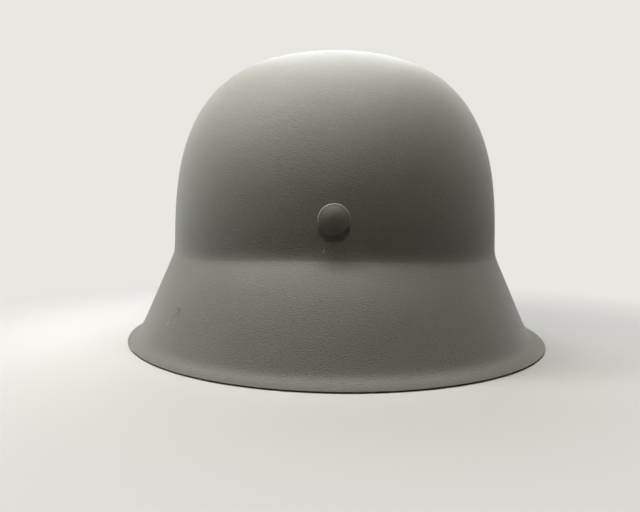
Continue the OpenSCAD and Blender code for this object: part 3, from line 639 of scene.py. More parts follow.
def liner_mesh(shell, s):
    """The sweatband and its fingers as one sheet of leather, folded under the inner band.
    Above the sweatband the sheet is cut into fingers by notches with a round root. Each finger has a round
    tip, an oval slot for the lace, a slight pucker where the lace draws it in, and softened cut edges. The
    pucker is a cosine across the finger, and the sweatband gives by a sine."""
    across, notch_h, tip_round, tip_narrow = 32, 0.09, 0.04, 0.26
    pucker_d, give_d = 0.45 * MM, 0.25 * MM
    tip_c, lace_c = superellipse(s.crown_hole, s.dome_full), superellipse(s.lace_share, s.dome_full)
    # Rows of the fold and the sweatband, then rows of the fingers, which lie close together at the notches'
    # roots and at the tips
    low = np.concatenate([[0, 0.05, 0.15, 0.4, 0.7], np.linspace(1, 2, 11), np.linspace(2, 3, 14)[1:]])
    inner = s.crown_hole + np.concatenate([np.linspace(0.51, 0.015, 29), [0.007, 0.002, 0]])
    high = np.concatenate([[0.012, 0.022, 0.026, 0.035, 0.05, 0.07, 0.095], np.linspace(0.13, 0.64, 11),
                           superellipse(inner, s.dome_full)]) / tip_c
    root = len(low) + 1  # row where the notches begin
    u = np.concatenate([[-1, -0.985, -0.95], np.linspace(-1, 1, across - 3)[2:-2], [0.95, 0.985, 1]])
    centres = 2 * np.pi * (np.arange(FINGERS) + 0.5) / FINGERS
    u_all = np.tile(u, FINGERS)
    place = np.repeat(centres, len(u))
    rows = np.concatenate([low, 3 + high])
    w = np.clip(rows - 3, 0, 1)[:, None] + 0 * u_all
    q = np.where(rows[:, None] > 3, 3 + w * (tip_c - tip_round * u_all ** 4), rows[:, None] + 0 * u_all)
    notch = np.clip((w - high[1]) / notch_h, 0, 1)
    gap = np.pi / FINGERS - s.finger_half
    half = np.pi / FINGERS - gap * np.sqrt(1 - (1 - notch) ** 2)
    half = half * (1 - tip_narrow * w ** 12)
    grid = np.stack([q, place + half * u_all])
    cells = np.ones((len(rows) - 1, len(u_all)), bool)
    cells[root:, len(u) - 1::len(u)] = False
    middle_column = len(u) // 2
    slot_q = np.array(3 + lace_c)
    row = nearest(q[:, middle_column], slot_q)
    slot_w = s.lace_r + 0.4 * MM
    slot_radii = [0, slot_w / 2, slot_w, slot_w * 1.35]
    for k, angle in enumerate(centres):
        scale = metres_per_step(lambda b, a: leather_middle(shell, s, a, b), slot_q, angle)
        cut_hole(grid, cells, (slot_q, angle), scale, row, k * len(u) + middle_column, slot_radii, 5,
                 stretch=(1, s.slot_l / 2 / slot_w))
    q, t = grid
    middle = leather_middle(shell, s, t, q)
    normal = sheet_normal(lambda a, b: leather_middle(shell, s, a, b), t, q, 3.995)
    drawn = ease((w - 0.35) / 0.5)
    pucker = pucker_d * drawn * np.cos(np.pi * 3 * u_all + 2 * place) * (1 - w ** 8)
    give = give_d * np.sin(5 * t + 9 * q) * ease(q - 2) * (1 - ease((q - 3) * 4))
    middle = middle + normal * (pucker + give)[..., None]
    cut = np.where(w > high[1] * 0.99, np.interp(np.abs(u_all), [0.9, 0.95, 0.985, 1], [1, 1, 0.9, 0.62]), 1)
    end = np.interp(rows, [0, 0.05, 0.15, *(3 + high[-4:])], [0.62, 0.9, 1, 1, 0.97, 0.85, 0.62])
    thick = np.where(q < 3, s.leather_t, s.leather_t + (s.finger_t - s.leather_t) * ease((q - 3) * 12))
    offset = normal * (thick / 2 * cut * end[:, None])[..., None]
    edge = np.clip((1 - cut * end[:, None]) * 3, 0, 1)
    return sheet_mesh("liner", middle + offset, middle - offset, cells, attributes={"cut_edge": edge})


def felt_mesh(shell, s):
    """The felt strip: the waist's ellipse moved inwards, with an uneven top edge of two sines, rounded edges,
    and round holes for the heads of the spring rivets."""
    columns, rag_h, rag_drop = 280, 0.35 * MM, 0.7 * MM
    shares = np.concatenate([[0, 0.015, 0.05], np.linspace(0.1, 0.9, 13), [0.95, 0.985, 1]])
    z = s.felt_z + (s.top_z - s.felt_z) * shares
    t = 2 * np.pi * np.arange(columns) / columns
    grid = np.stack(np.meshgrid(z, t, indexing="ij"))
    cells = np.ones((len(z) - 1, len(t)), bool)
    for angle in np.radians(SPRINGS):
        scale = metres_per_step(lambda b, a: waist(shell, a) + (0, 0, b), s.spring_z, angle)
        row, column = nearest(z, s.spring_z), nearest_column(angle, len(t))
        cut_hole(grid, cells, (s.spring_z, angle), scale, row, column, hole_radii(s.head_room_r), 6)
    z, t = grid
    share = (z - s.felt_z) / (s.top_z - s.felt_z)
    near_top = ease((share - 0.6) / 0.4)
    rag = rag_h * (np.sin(31 * t) + np.sin(17 * t + 1.3)) * near_top - rag_drop * near_top
    out = facing(shell, t)
    middle = waist(shell, t) - out * (s.felt_in + s.felt_t / 2)
    middle[..., 2] = z + rag
    thick = s.felt_t * (1 - 0.45 * ease(1 - share * 25) - 0.45 * ease(1 - (1 - share) * 25))
    offset = out * (thick / 2)[..., None]
    return sheet_mesh("felt", (middle + offset)[::-1], (middle - offset)[::-1], cells[::-1])


def tube_mesh(name, path, radius, up):
    """A tube swept along a path, closed by a point at each end. radius has one value per ring and side."""
    ahead = unit(np.gradient(path, axis=0))
    side = unit(np.cross(ahead, np.broadcast_to(up, path.shape)))
    above = np.cross(side, ahead)
    radius = np.vstack([0 * radius[:1], radius, 0 * radius[:1]])
    index = np.concatenate([[0], np.arange(len(path)), [len(path) - 1]])
    a = 2 * np.pi * np.arange(radius.shape[1]) / radius.shape[1]
    circle = np.cos(a)[:, None] * side[index][:, None] + np.sin(a)[:, None] * above[index][:, None]
    return rings_mesh(name, path[index][:, None] + radius[..., None] * circle)


def twisted(radius, length, sides, lay=LAY):
    """Radius of a cord laid of strands: a circle with a lobe for each strand that turns once in each lay."""
    a = 2 * np.pi * np.arange(sides) / sides
    lobes = np.abs(np.cos(STRANDS / 2 * (a - 2 * np.pi * length[:, None] / lay)))
    return radius * (0.84 + 0.16 * lobes)


def lace_middle(shell, s, turn):
    """Middle of the lace: a circle round the crown from the back, which passes over one gap between the
    fingers and under the next, on a sine that is pressed flat by w / √(w² + 0.12)."""
    t = np.pi / 2 + 2 * np.pi * turn
    w = np.sin(4 * (t - np.pi / 8))
    point = leather_middle(shell, s, t, 3 + superellipse(s.lace_share, s.dome_full) + 0 * t)
    point[..., 2] -= s.lace_weave * w / np.sqrt(w * w + 0.12)
    return point


def lengths_along(points):
    """Length along a path at each of its points: the running sum of its steps."""
    return np.concatenate([[0], np.cumsum(np.linalg.norm(np.diff(points, axis=0), axis=1))])


def lace_mesh(shell, s):
    """The lace, laid of its strands, as a tube along its middle, with a gap at the knot."""
    path = lace_middle(shell, s, np.linspace(0.006, 0.994, 620))
    return tube_mesh("lace", path, twisted(s.lace_r, lengths_along(path), 18), (0, 0, 1))


def knot_meshes(shell, s):
    """The knot: a trefoil on a small torus, pressed flat to lie between two fingers, and the lace's two ends,
    which sink by 10 degrees and sway by a sine."""
    centre = lace_middle(shell, s, np.array([0.0]))[0]
    a = np.linspace(0, 2 * np.pi, 141)
    # Radii of the torus and of the cord on it, the cord's length and its lay
    ring_r, tube_r, cord_r, cord_l, tight_lay = 1.75 * MM, 0.95 * MM, 0.85 * MM, 26 * MM, 7 * MM
    circle = stack(0 * a, np.cos(2 * a), np.sin(2 * a)) * ring_r
    away = unit(circle) * np.cos(3 * a)[:, None] + np.array((1.0, 0, 0)) * np.sin(3 * a)[:, None]
    knot = circle + away * tube_r
    rings = twisted(cord_r, np.linspace(0, cord_l, len(a)), 14, tight_lay)
    meshes = [tube_mesh("knot", knot + centre, rings, away)]
    flat = np.array((0.6, 1, 1))
    points = np.empty(len(meshes[0].vertices) * 3, np.float32)
    meshes[0].vertices.foreach_get("co", points)
    points = (points.reshape(-1, 3) - centre) * flat + centre
    meshes[0].vertices.foreach_set("co", points.astype(np.float32).ravel())
    end_l, sway_w, spread, sink = 18 * MM, 0.5 * MM, 28, np.sin(np.radians(10))
    along = np.linspace(0, end_l, 60)
    for side in (-1, 1):
        turn = np.radians(90 + spread * side)
        sway = side * sway_w * np.sin(along / MM * 0.35) * ease(along / (6 * MM))
        path = centre + stack(np.cos(turn) * along + sway, np.sin(turn) * along, -along * sink)
        radius = twisted(s.lace_r * 0.92, along, 14)
        radius[-3:] *= np.array([1.0, 0.93, 0.75])[:, None]
        meshes.append(tube_mesh("lace_end", path, radius, (0, 0, 1)))
    return meshes


def arc(centre, radius, start, end, steps=24):
    """Points of an arc from one angle to another, in degrees."""
    a = np.radians(np.linspace(start, end, steps))
    return np.stack([centre[0] + radius * np.cos(a), centre[1] + radius * np.sin(a)], axis=1)


def wrap_radius(s):
    """Radius of a strap's middle round a bar: the leather gives by the press of the wire."""
    return s.wire_r - PRESS + s.thick / 2


def around_bar(s, length):
    """Middle of a strap's end that leans on to the strap, goes round a bar at the origin and leaves
    under it."""
    middle, gap, lean = wrap_radius(s), 0.1 * MM, np.radians(12)
    tail = s.thick + gap - middle
    reach = (middle * np.cos(lean) - tail) / np.sin(lean)
    start = [[-length, tail], [-middle * np.sin(lean) - reach * np.cos(lean), tail]]
    return np.concatenate([start, arc((0, 0), middle, 102, -90)])


def hanging_path(s):
    """The strap's way from its folded end over the bail's bar and down on to the surface, from its side."""
    loop = around_bar(s, s.fold_l)
    floor_z = AIR + s.thick / 2
    run_start = s.floor_bend - wrap_radius(s)
    turn = arc((run_start, floor_z + s.floor_bend), s.floor_bend, 180, 270)
    return np.concatenate([np.stack([loop[:, 1], s.bar_z + loop[:, 0]], axis=1), turn]), run_start, floor_z


def even_path(points):
    """A path at even steps, with its corners rounded by a running mean, and the length at each step."""
    length = lengths_along(points)
    keep = np.concatenate([[True], np.diff(length) > 1e-7])
    points, length = points[keep], length[keep]
    l = np.linspace(0, length[-1], int(length[-1] / (STRAP_STEP / 4)) + 1)
    dense = np.stack([np.interp(l, length, points[:, k]) for k in (0, 1)], axis=1)
    wide = np.pad(dense, ((4, 4), (0, 0)), mode="reflect", reflect_type="odd")
    dense = np.stack([np.convolve(wide[:, k], np.full(9, 1 / 9), mode="valid") for k in (0, 1)], axis=1)
    return dense, l


def strap_skins(s, points, bars, holes, slot_from=None, tip=0.0):
    """A strap swept along a path seen from its side: two skins, half the leather each way from its middle.
    The corners of its edges are round, a creased line runs along them, and it is skived where it goes round
    a bar. The prong's slot is left out of its cells, and the tip narrows."""
    path, along = even_path(points)
    q, half_w = 0.45 * MM, s.width / 2  # q is the radius of the edges' corners
    # Place, width and depth of the creased line, and how much is skived off each skin
    crease_in, crease_w, crease_d, skive = 1.55 * MM, 0.22 * MM, 0.14 * MM, 0.17 * MM
    ends = np.array([0.07, 0.22, 0.42]) * MM
    rows = np.linspace(0, along[-1], int(along[-1] / STRAP_STEP))
    rows = np.sort(np.concatenate([rows, ends, along[-1] - ends]))
    side = half_w - np.array([0, 0.07, 0.22, 0.45, 1.3, 1.55, 1.8, 2.1]) * MM
    inner = np.linspace(4.6 * MM, s.slot_w / 2, 4)
    side = np.concatenate([side, inner, [s.slot_w / 4]])
    y = np.concatenate([-side, [0], side[::-1]])
    grid = np.stack(np.meshgrid(rows, y, indexing="ij"))
    cells = np.ones((len(rows) - 1, len(y) - 1), bool)
    middle = len(y) // 2
    for l, radius in holes:
        row = nearest(rows, l)
        cut_hole(grid, cells, (l, 0.0), (1, 1), row, middle, hole_radii(radius), 5, step=0.5 * MM)
    if slot_from is not None:
        x = np.interp((rows[:-1] + rows[1:]) / 2, along, path[:, 0])
        past = np.flatnonzero(x > slot_from)
        cells[past[0]:past[-1] + 1, middle - 2:middle + 2] = False
    l, y = grid
    x, z = (np.interp(l, along, path[:, k]) for k in (0, 1))
    slope = unit(np.gradient(path, axis=0))
    nx, nz = (np.interp(l, along, value) for value in (-slope[:, 1], slope[:, 0]))
    edge = np.minimum(half_w - np.abs(y), np.minimum(l, along[-1] - l))
    rounded = s.thick / 2 - q + np.sqrt(np.maximum(q * q - np.maximum(q - edge, 0) ** 2, 0))
    crease = crease_d * np.exp(-((half_w - np.abs(y) - crease_in) / crease_w) ** 2)
    rounded = rounded - crease * ease(edge / MM)
    skived = [np.zeros_like(l), np.zeros_like(l)]
    for bar in bars:
        far = np.hypot(x - bar[0], z - bar[1])
        near = 1 - ease((far - s.thick - 0.4 * MM) / (2 * MM))
        turned = (bar[0] - x) * nx + (bar[1] - z) * nz > 0
        skived = [skived[0] + near * turned, skived[1] + near * ~turned]
    upper, lower = (rounded - skive * share for share in skived)
    end = along[-1] - l
    width = y * np.where(end < tip, (half_w - tip + end + 0.6 * MM) / (half_w + 0.6 * MM), 1) if tip else y
    outer = stack(x + nx * upper, width, z + nz * upper)
    inner = stack(x - nx * lower, width, z - nz * lower)
    return outer, inner, cells, {"cut_edge": ease(1 - edge / (0.5 * MM))}


def hang_strap(s, name, left, skins):
    """Turns a strap that was made seen from its side to its own side of the helmet, and makes its mesh."""
    outer, inner, cells, attributes = skins
    turned = np.array((-1.0, -1.0, 1.0)) if left else np.ones(3)
    hinge = np.array((s.hinge_x if left else -s.hinge_x, 0, 0))
    return sheet_mesh(name, outer * turned + hinge, inner * turned + hinge, cells, wrap=False,
                      attributes=attributes)


def stud_holes(s, points):
    """The stud's two holes: lengths along a path where it passes the stud's height, and their radius."""
    path, along = even_path(points)
    passes = np.flatnonzero(np.diff(np.sign(path[:, 1] - s.stud_z)) != 0)
    return [(l, s.stud_hole_r) for l in along[passes][:2]]


def long_strap_mesh(s):
    """The long strap: down from the bail, along the surface, and folded back over itself by a smooth step."""
    path, run_start, floor_z = hanging_path(s)
    end = run_start + s.long_run
    over_z = floor_z + s.thick + AIR
    share = np.linspace(0, 1, 40)[1:]
    rise = (floor_z + 2 * s.fold_bend - over_z) * (1 - ease(share / 0.75))
    back = np.stack([end - s.long_back * share, over_z + rise], axis=1)
    path = np.concatenate([path, arc((end, floor_z + s.fold_bend), s.fold_bend, -90, 90), back])
    along = even_path(path)[1][-1]
    holes = stud_holes(s, path)
    holes += [(along - s.prong_step * (k + 1), s.prong_hole_r) for k in range(s.prong_holes)]
    return hang_strap(s, "long_strap", True, strap_skins(s, path, [(0, s.bar_z)], holes, tip=s.tip))


def short_strap_mesh(s):
    """The short strap: down from the bail, along the surface, and back round the buckle's bar."""
    path, run_start, floor_z = hanging_path(s)
    bar = (run_start + s.short_run, floor_z + wrap_radius(s))
    path = np.concatenate([path, (around_bar(s, s.buckle_fold) + bar)[::-1]])
    skins = strap_skins(s, path, [(0, s.bar_z), bar], stud_holes(s, path), slot_from=bar[0] - s.slot_l)
    return hang_strap(s, "short_strap", False, skins)


# Materials


def node(tree, kind, inputs, output=0, **settings):
    """Adds a shader node with its settings and inputs, and gives one of its outputs. A socket given as an
    input is linked, and anything else is set on the input itself."""
    made = tree.nodes.new("ShaderNode" + kind)
    for key, value in settings.items():
        setattr(made, key, value)
    for key, value in inputs.items():
        if isinstance(value, bpy.types.NodeSocket):
            tree.links.new(value, made.inputs[key])
        else:
            made.inputs[key].default_value = value
    return made.outputs[output] if made.outputs else None


def new_material(name):
    """An empty material, its tree, and its place in object coordinates, in metres."""
    made = bpy.data.materials.new(name)
    made.use_nodes = True
    made.node_tree.nodes.clear()
    return made, made.node_tree, node(made.node_tree, "TexCoord", {}, "Object")


def finished(material, surface):
    """A material with a surface of these inputs on its output."""
    tree = material.node_tree
    node(tree, "OutputMaterial", {"Surface": node(tree, "BsdfPrincipled", surface)})
    return material


def tinted(base, factor, other=(1, 1, 1, 1), share=0.0):
    """A colour times a factor, then drawn towards another colour by a share."""
    return tuple(min(1.0, b * factor * (1 - share) + o * share) for b, o in zip(base[:3], other[:3])) + (1.0,)


def covered(tree, under, over, *shares):
    """A colour covered by another as far as the product of the shares."""
    share, *others = shares
    for other in others:
        share = node(tree, "Math", {0: share, 1: other}, operation="MULTIPLY")
    return node(tree, "Mix", {0: share, 6: under, 7: over}, 2, data_type="RGBA")


def shaded(tree, pattern, low, high, under, over, most=1.0):
    """The colour under where a pattern is at low or less, drawn towards the colour over up to its high."""
    share = node(tree, "MapRange", {"Value": pattern, "From Min": low, "From Max": high, "To Max": most})
    return covered(tree, under, over, share)


def unrolled(tree, place):
    """The helmet's skin unrolled: metres round it, by the angle's arctangent, and the height."""
    x, y, z = (node(tree, "SeparateXYZ", {0: place}, axis) for axis in "XYZ")
    angle = node(tree, "Math", {0: y, 1: x}, operation="ARCTAN2")
    return node(tree, "CombineXYZ", {0: node(tree, "Math", {0: angle, 1: RUB_R}, operation="MULTIPLY"), 1: z})


def rub(tree, place, first_angle, first_z, last_angle, last_z, width):
    """1 on a short straight rub and 0 off it, by the distance to the nearest point of its line."""
    start = np.array((np.radians(first_angle) * RUB_R, first_z * MM, 0))
    way = np.array((np.radians(last_angle) * RUB_R, last_z * MM, 0)) - start
    from_start = node(tree, "VectorMath", {0: place, 1: start}, operation="SUBTRACT")
    along = node(tree, "VectorMath", {0: from_start, 1: way}, "Value", operation="DOT_PRODUCT")
    share = node(tree, "MapRange", {"Value": along, "From Max": way @ way})
    nearest_point = node(tree, "VectorMath", {0: way, "Scale": share}, operation="SCALE")
    gap = node(tree, "VectorMath", {0: from_start, 1: nearest_point}, "Value", operation="DISTANCE")
    return node(tree, "MapRange", {"Value": gap, "From Min": width * MM * 0.3, "From Max": width * MM * 0.6,
                                   "To Min": 1.0, "To Max": 0.0})


def rubs(tree, place, marks):
    """1 on any of the rubs in a list."""
    skin = unrolled(tree, place)
    share = rub(tree, skin, *marks[0])
    for mark in marks[1:]:
        share = node(tree, "Math", {0: share, 1: rub(tree, skin, *mark)}, operation="MAXIMUM")
    return share


def field_paint(base, relief, worn=False):
    """Matt field-grey enamel, sprayed on pressed steel and stoved.
    It gives a dull grey-green with a fine orange peel in level streaks, as deep as relief, pinholes and soft
    darker areas, and where worn is set a lip rubbed lighter, partly as a painted highlight on the edge, a
    darkening over the waist that is partly soiling and partly painted shade, and a scuff with a pale fleck."""
    made, tree, plain = new_material("matt_field_grey_enamel")
    level = node(tree, "Mapping", {"Vector": plain, "Scale": (1, 1, 3.8)})
    peel = node(tree, "TexNoise", {"Vector": level, "Scale": 1 / (1.35 * MM), "Detail": 4, "Roughness": 0.65})
    grit = node(tree, "TexNoise", {"Vector": plain, "Scale": 1 / (0.5 * MM), "Detail": 2, "Roughness": 0.55})
    areas = node(tree, "TexNoise", {"Vector": plain, "Scale": 1 / (42 * MM), "Detail": 2, "Roughness": 0.55})
    pores = node(tree, "TexNoise", {"Vector": plain, "Scale": 1 / (1.3 * MM), "Detail": 3, "Roughness": 0.7})
    pits = node(tree, "MapRange", {"Value": pores, "From Min": 0.60, "From Max": 0.70})
    colour = shaded(tree, areas, 0.3, 0.7, tinted(base, 0.92), tinted(base, 1.07))
    speck = shaded(tree, peel, 0.34, 0.66, tinted(base, 0.8), tinted(base, 1.2))
    colour = covered(tree, colour, speck, 0.5)
    colour = covered(tree, colour, tinted(base, 0.45), pits, 0.45)
    height = node(tree, "Math", {0: grit, 1: 0.35, 2: peel}, operation="MULTIPLY_ADD")
    height = node(tree, "Math", {0: pits, 1: -0.3, 2: height}, operation="MULTIPLY_ADD")
    if worn:
        spread = node(tree, "TexNoise",
                      {"Vector": level, "Scale": 1 / (7 * MM), "Detail": 3, "Roughness": 0.55})
        uneven_spread = node(tree, "MapRange", {"Value": spread, "From Min": 0.2, "From Max": 0.6, "To Min": 0.5})
        rubbed_and_lit_patches = node(tree, "MapRange", {"Value": spread, "From Min": 0.35, "From Max": 0.6})
        broken = node(tree, "MapRange", {"Value": grit, "From Min": 0.35, "From Max": 0.5, "To Min": 0.4})
        waist_dirt_and_shade = node(tree, "Attribute", {}, "Fac", attribute_name="waist_dirt_and_shade")
        edge_wear_and_highlight = node(tree, "Attribute", {}, "Fac", attribute_name="edge_wear_and_highlight")
        # Darker paint over the waist: partly soiling and partly painted shade in the crease
        dirt_and_shade_tone = tinted(base, 0.45, linear("#3a3224"), 0.3)
        colour = covered(tree, colour, dirt_and_shade_tone, waist_dirt_and_shade, uneven_spread, 0.35)
        # Lighter paint on the lip: partly rubbed paint and partly a painted highlight on the edge
        colour = covered(tree, colour, tinted(base, 1.5), edge_wear_and_highlight, rubbed_and_lit_patches)
        colour = covered(tree, colour, tinted(base, 0.3), rubs(tree, plain, DARK_RUBS), broken)
        colour = covered(tree, colour, linear("#c9c5b8"), rubs(tree, plain, PALE_RUBS), 0.45)
    return finished(made, {"Base Color": colour, "Roughness": 0.58, "IOR": 1.5, "Specular IOR Level": 0.3,
                           "Sheen Weight": 0.45, "Sheen Roughness": 0.5,
                           "Normal": node(tree, "Bump", {"Height": height, "Distance": relief})})


def plated_steel(name, base, roughness, grain):
    """Plated or rolled steel: a grey metal with a grain along its length, dull patches and dark specks.
    Rolling lines and the plating's crystals are about 0.1 mm wide, and grain is as coarse as they need to
    show."""
    made, tree, plain = new_material(name)
    along = node(tree, "Mapping", {"Vector": plain, "Scale": (0.25, 0.25, 1)})
    lines = node(tree, "TexNoise", {"Vector": along, "Scale": 1 / grain, "Detail": 3, "Roughness": 0.55})
    dull = node(tree, "TexNoise", {"Vector": plain, "Scale": 1 / (6 * MM), "Detail": 4, "Roughness": 0.65})
    spots = node(tree, "TexNoise", {"Vector": plain, "Scale": 1 / (0.9 * MM), "Detail": 2, "Roughness": 0.55})
    colour = shaded(tree, dull, 0.32, 0.68, tinted(base, 0.72), tinted(base, 1.08))
    colour = shaded(tree, spots, 0.66, 0.72, colour, tinted(base, 0.4, linear("#4d4438"), 0.4))
    rough = node(tree, "MapRange", {"Value": dull, "From Min": 0.3, "From Max": 0.7,
                                    "To Min": roughness + 0.12, "To Max": roughness - 0.06})
    return finished(made, {"Base Color": colour, "Metallic": 1.0, "Roughness": rough,
                           "Normal": node(tree, "Bump", {"Height": lines, "Distance": 0.03 * MM})})


def enamelled_wire(base):
    """Drawn and bent steel with a thin coat of grey stoving enamel: a soft gloss, with steel at its rubs."""
    made, tree, plain = new_material("grey_stoving_enamel")
    worn = node(tree, "TexNoise", {"Vector": plain, "Scale": 1 / (3.5 * MM), "Detail": 4, "Roughness": 0.65})
    fine = node(tree, "TexNoise", {"Vector": plain, "Scale": 1 / (0.7 * MM), "Detail": 2, "Roughness": 0.55})
    bare = node(tree, "MapRange", {"Value": worn, "From Min": 0.60, "From Max": 0.66})
    colour = shaded(tree, fine, 0.3, 0.7, tinted(base, 0.9), tinted(base, 1.1))
    return finished(made, {"Base Color": covered(tree, colour, linear("#a9a7a0"), bare),
                           "Metallic": node(tree, "Math", {0: bare, 1: 0.9}, operation="MULTIPLY"),
                           "Roughness": 0.42,
                           "Normal": node(tree, "Bump", {"Height": fine, "Distance": 0.03 * MM})})


def leather(name, base, pore, gloss, cut_tone):
    """Vegetable-tanned cowhide, rolled and waxed: pores and fine wrinkles of the grain side, darker handled
    patches and cut edges, and a soft wax shine. pore is the width of the grain's cells. They are about 0.3 mm
    wide in the hide, and drawn as coarse as they need to show. gloss is the roughness between the patches,
    and cut_tone the shade of a cut edge."""
    made, tree, plain = new_material(name)
    long = node(tree, "Mapping", {"Vector": plain, "Scale": (1, 1, 0.4)})
    cells = node(tree, "TexVoronoi", {"Vector": plain, "Scale": 1 / pore}, "Distance",
                 feature="DISTANCE_TO_EDGE")
    creases = node(tree, "TexNoise", {"Vector": long, "Scale": 1 / (3.2 * MM), "Detail": 4, "Roughness": 0.6})
    fine = node(tree, "TexNoise", {"Vector": plain, "Scale": 1 / (0.6 * MM), "Detail": 3, "Roughness": 0.55})
    patches = node(tree, "TexNoise", {"Vector": plain, "Scale": 1 / (17 * MM), "Detail": 3, "Roughness": 0.6})
    cut_edge = node(tree, "Attribute", {}, "Fac", attribute_name="cut_edge")
    colour = shaded(tree, patches, 0.3, 0.7, tinted(base, 0.68), tinted(base, 1.18))
    furrows = node(tree, "MapRange", {"Value": cells, "From Min": 0.12, "From Max": 0.0})
    colour = covered(tree, colour, tinted(base, 0.5), furrows, 0.35)
    colour = shaded(tree, creases, 0.60, 0.74, colour, tinted(base, 0.45), most=0.5)
    colour = covered(tree, colour, tinted(base, cut_tone), cut_edge, 0.75)
    grains = node(tree, "MapRange", {"Value": cells, "From Min": 0.0, "From Max": 0.16})
    height = node(tree, "Math", {0: fine, 1: 0.4, 2: grains}, operation="MULTIPLY_ADD")
    creased = node(tree, "Bump", {"Height": creases, "Distance": 0.25 * MM})
    rough = node(tree, "MapRange", {"Value": patches, "From Min": 0.3, "From Max": 0.7,
                                    "To Min": gloss - 0.06, "To Max": gloss + 0.12})
    return finished(made, {"Base Color": colour, "Roughness": rough, "IOR": 1.48, "Normal": node(
        tree, "Bump", {"Height": height, "Distance": 0.07 * MM, "Normal": creased})})


def wool_felt(base):
    """Pressed wool felt: a dull fibrous grey with flecks of lighter and darker wool. Its fibres are 0.03 mm
    thick, too fine to show, and are drawn as tufts of 1.1 mm."""
    made, tree, plain = new_material("pressed_wool_felt")
    flat = node(tree, "Mapping", {"Vector": plain, "Scale": (1, 1, 2.5)})
    fibres = node(tree, "TexNoise", {"Vector": flat, "Scale": 1 / (1.1 * MM), "Detail": 5, "Roughness": 0.7})
    flecks = node(tree, "TexNoise", {"Vector": plain, "Scale": 1 / (2.4 * MM), "Detail": 3, "Roughness": 0.6})
    colour = shaded(tree, fibres, 0.32, 0.68, tinted(base, 0.75), tinted(base, 1.2))
    colour = shaded(tree, flecks, 0.62, 0.68, colour, tinted(base, 0.55), most=0.6)
    return finished(made, {"Base Color": colour, "Roughness": 0.95, "Sheen Weight": 0.3,
                           "Normal": node(tree, "Bump", {"Height": fibres, "Distance": 0.3 * MM})})


def cotton_lace(base):
    """Waxed cotton lace: laid yarn of fine threads, dull, and slightly soiled where it rubs on leather."""
    made, tree, plain = new_material("waxed_cotton_lace")
    yarn = node(tree, "TexNoise", {"Vector": plain, "Scale": 1 / (0.45 * MM), "Detail": 3, "Roughness": 0.65})
    soil = node(tree, "TexNoise", {"Vector": plain, "Scale": 1 / (8 * MM), "Detail": 3, "Roughness": 0.55})
    colour = shaded(tree, yarn, 0.3, 0.7, tinted(base, 0.8), tinted(base, 1.1))
    colour = shaded(tree, soil, 0.5, 0.75, colour, linear("#7f6a4c"), most=0.5)
    return finished(made, {"Base Color": colour, "Roughness": 0.8, "Sheen Weight": 0.2,
                           "Normal": node(tree, "Bump", {"Height": yarn, "Distance": 0.1 * MM})})


def dress(material, name):
    """Gives a CAD node a finish through its material slot."""
    mesh = NODES[name].data
    mesh.materials.clear()
    mesh.materials.append(material)


# Pieces


class HELMET_OT_shell(bpy.types.Operator):
    """Makes the pressed shell with its vents, raw lip and worn paint with painted shade and highlight"""
    bl_idname = "helmet.shell"
    bl_label = "Shell"

    def execute(self, context):
        s, finishes = context.scene.helmet_shell, context.scene.helmet_finishes
        worn = field_paint(finishes.paint, relief=0.19 * MM, worn=True)
        thin = field_paint(finishes.paint, relief=0.08 * MM)
        add_piece("pressed_shell", shell_mesh(s), "helmet", worn, "shell")
        for place, angle in RIVETS.items():
            add_piece(f"liner_rivet_{place}", liner_rivet_mesh(s, angle), "helmet", thin, f"rivet_{place}")
        return {"FINISHED"}


class HELMET_OT_fittings(bpy.types.Operator):
    """Gives the bands, springs, washers, rivets, bails and the buckle their metal finishes"""
    bl_idname = "helmet.fittings"
    bl_label = "Metal fittings"

    def execute(self, context):
        finishes = context.scene.helmet_finishes
        by_slot = {
            "zinc_plate": plated_steel("dull_zinc_plate", finishes.zinc, 0.42, grain=0.8 * MM),
            "band_steel": plated_steel("galvanised_strip", finishes.band, 0.48, grain=0.5 * MM),
            "spring_steel": plated_steel("rolled_spring_steel", finishes.spring, 0.3, grain=0.4 * MM),
            "wire_steel": enamelled_wire(finishes.wire),
        }
        for name, slot in SLOT_OF.items():
            if slot in by_slot:
                dress(by_slot[slot], name)
        return {"FINISHED"}


class HELMET_OT_liner(bpy.types.Operator):
    """Makes the leather sweatband with its fingers, the felt strip, the lace and its knot"""
    bl_idname = "helmet.liner"
    bl_label = "Liner"

    def execute(self, context):
        shell, s = context.scene.helmet_shell, context.scene.helmet_liner
        finishes = context.scene.helmet_finishes
        tanned = leather("vegetable_tanned_leather", finishes.liner, pore=0.9 * MM, gloss=0.5, cut_tone=0.6)
        add_piece("sweatband", liner_mesh(shell, s), "helmet", tanned, "leather_liner")
        wool = wool_felt(finishes.felt)
        felt = add_piece("felt_backing", felt_mesh(shell, s), "helmet", wool, "felt_strip")
        t = np.linspace(0, 2 * np.pi, 721)
        middle = waist(shell, t) - facing(shell, t) * (s.felt_in + s.felt_t / 2)
        around = float(lengths_along(middle)[-1])
        cotton = cotton_lace(finishes.lace)
        add_piece("crown_lace", lace_mesh(shell, s), "helmet", cotton, "liner_lace")
        knot, *ends = knot_meshes(shell, s)
        add_piece("crown_knot", knot, "helmet", cotton, "lace_knot")
        for place, end in enumerate(ends, 1):
            add_piece(f"lace_end_{place}", end, "helmet", cotton)
        return {"FINISHED"}


class HELMET_OT_chin_strap(bpy.types.Operator):
    """Makes the two halves of the chin strap"""
    bl_idname = "helmet.chin_strap"
    bl_label = "Chin strap"

    def execute(self, context):
        s, finishes = context.scene.helmet_strap, context.scene.helmet_finishes
        oiled = leather("oiled_strap_leather", finishes.strap, pore=0.8 * MM, gloss=0.4, cut_tone=1.35)
        add_piece("long_strap", long_strap_mesh(s), "long_strap", oiled, "chin_strap_long")
        add_piece("short_strap", short_strap_mesh(s), "short_strap", oiled, "chin_strap_short")
        return {"FINISHED"}


# Stage


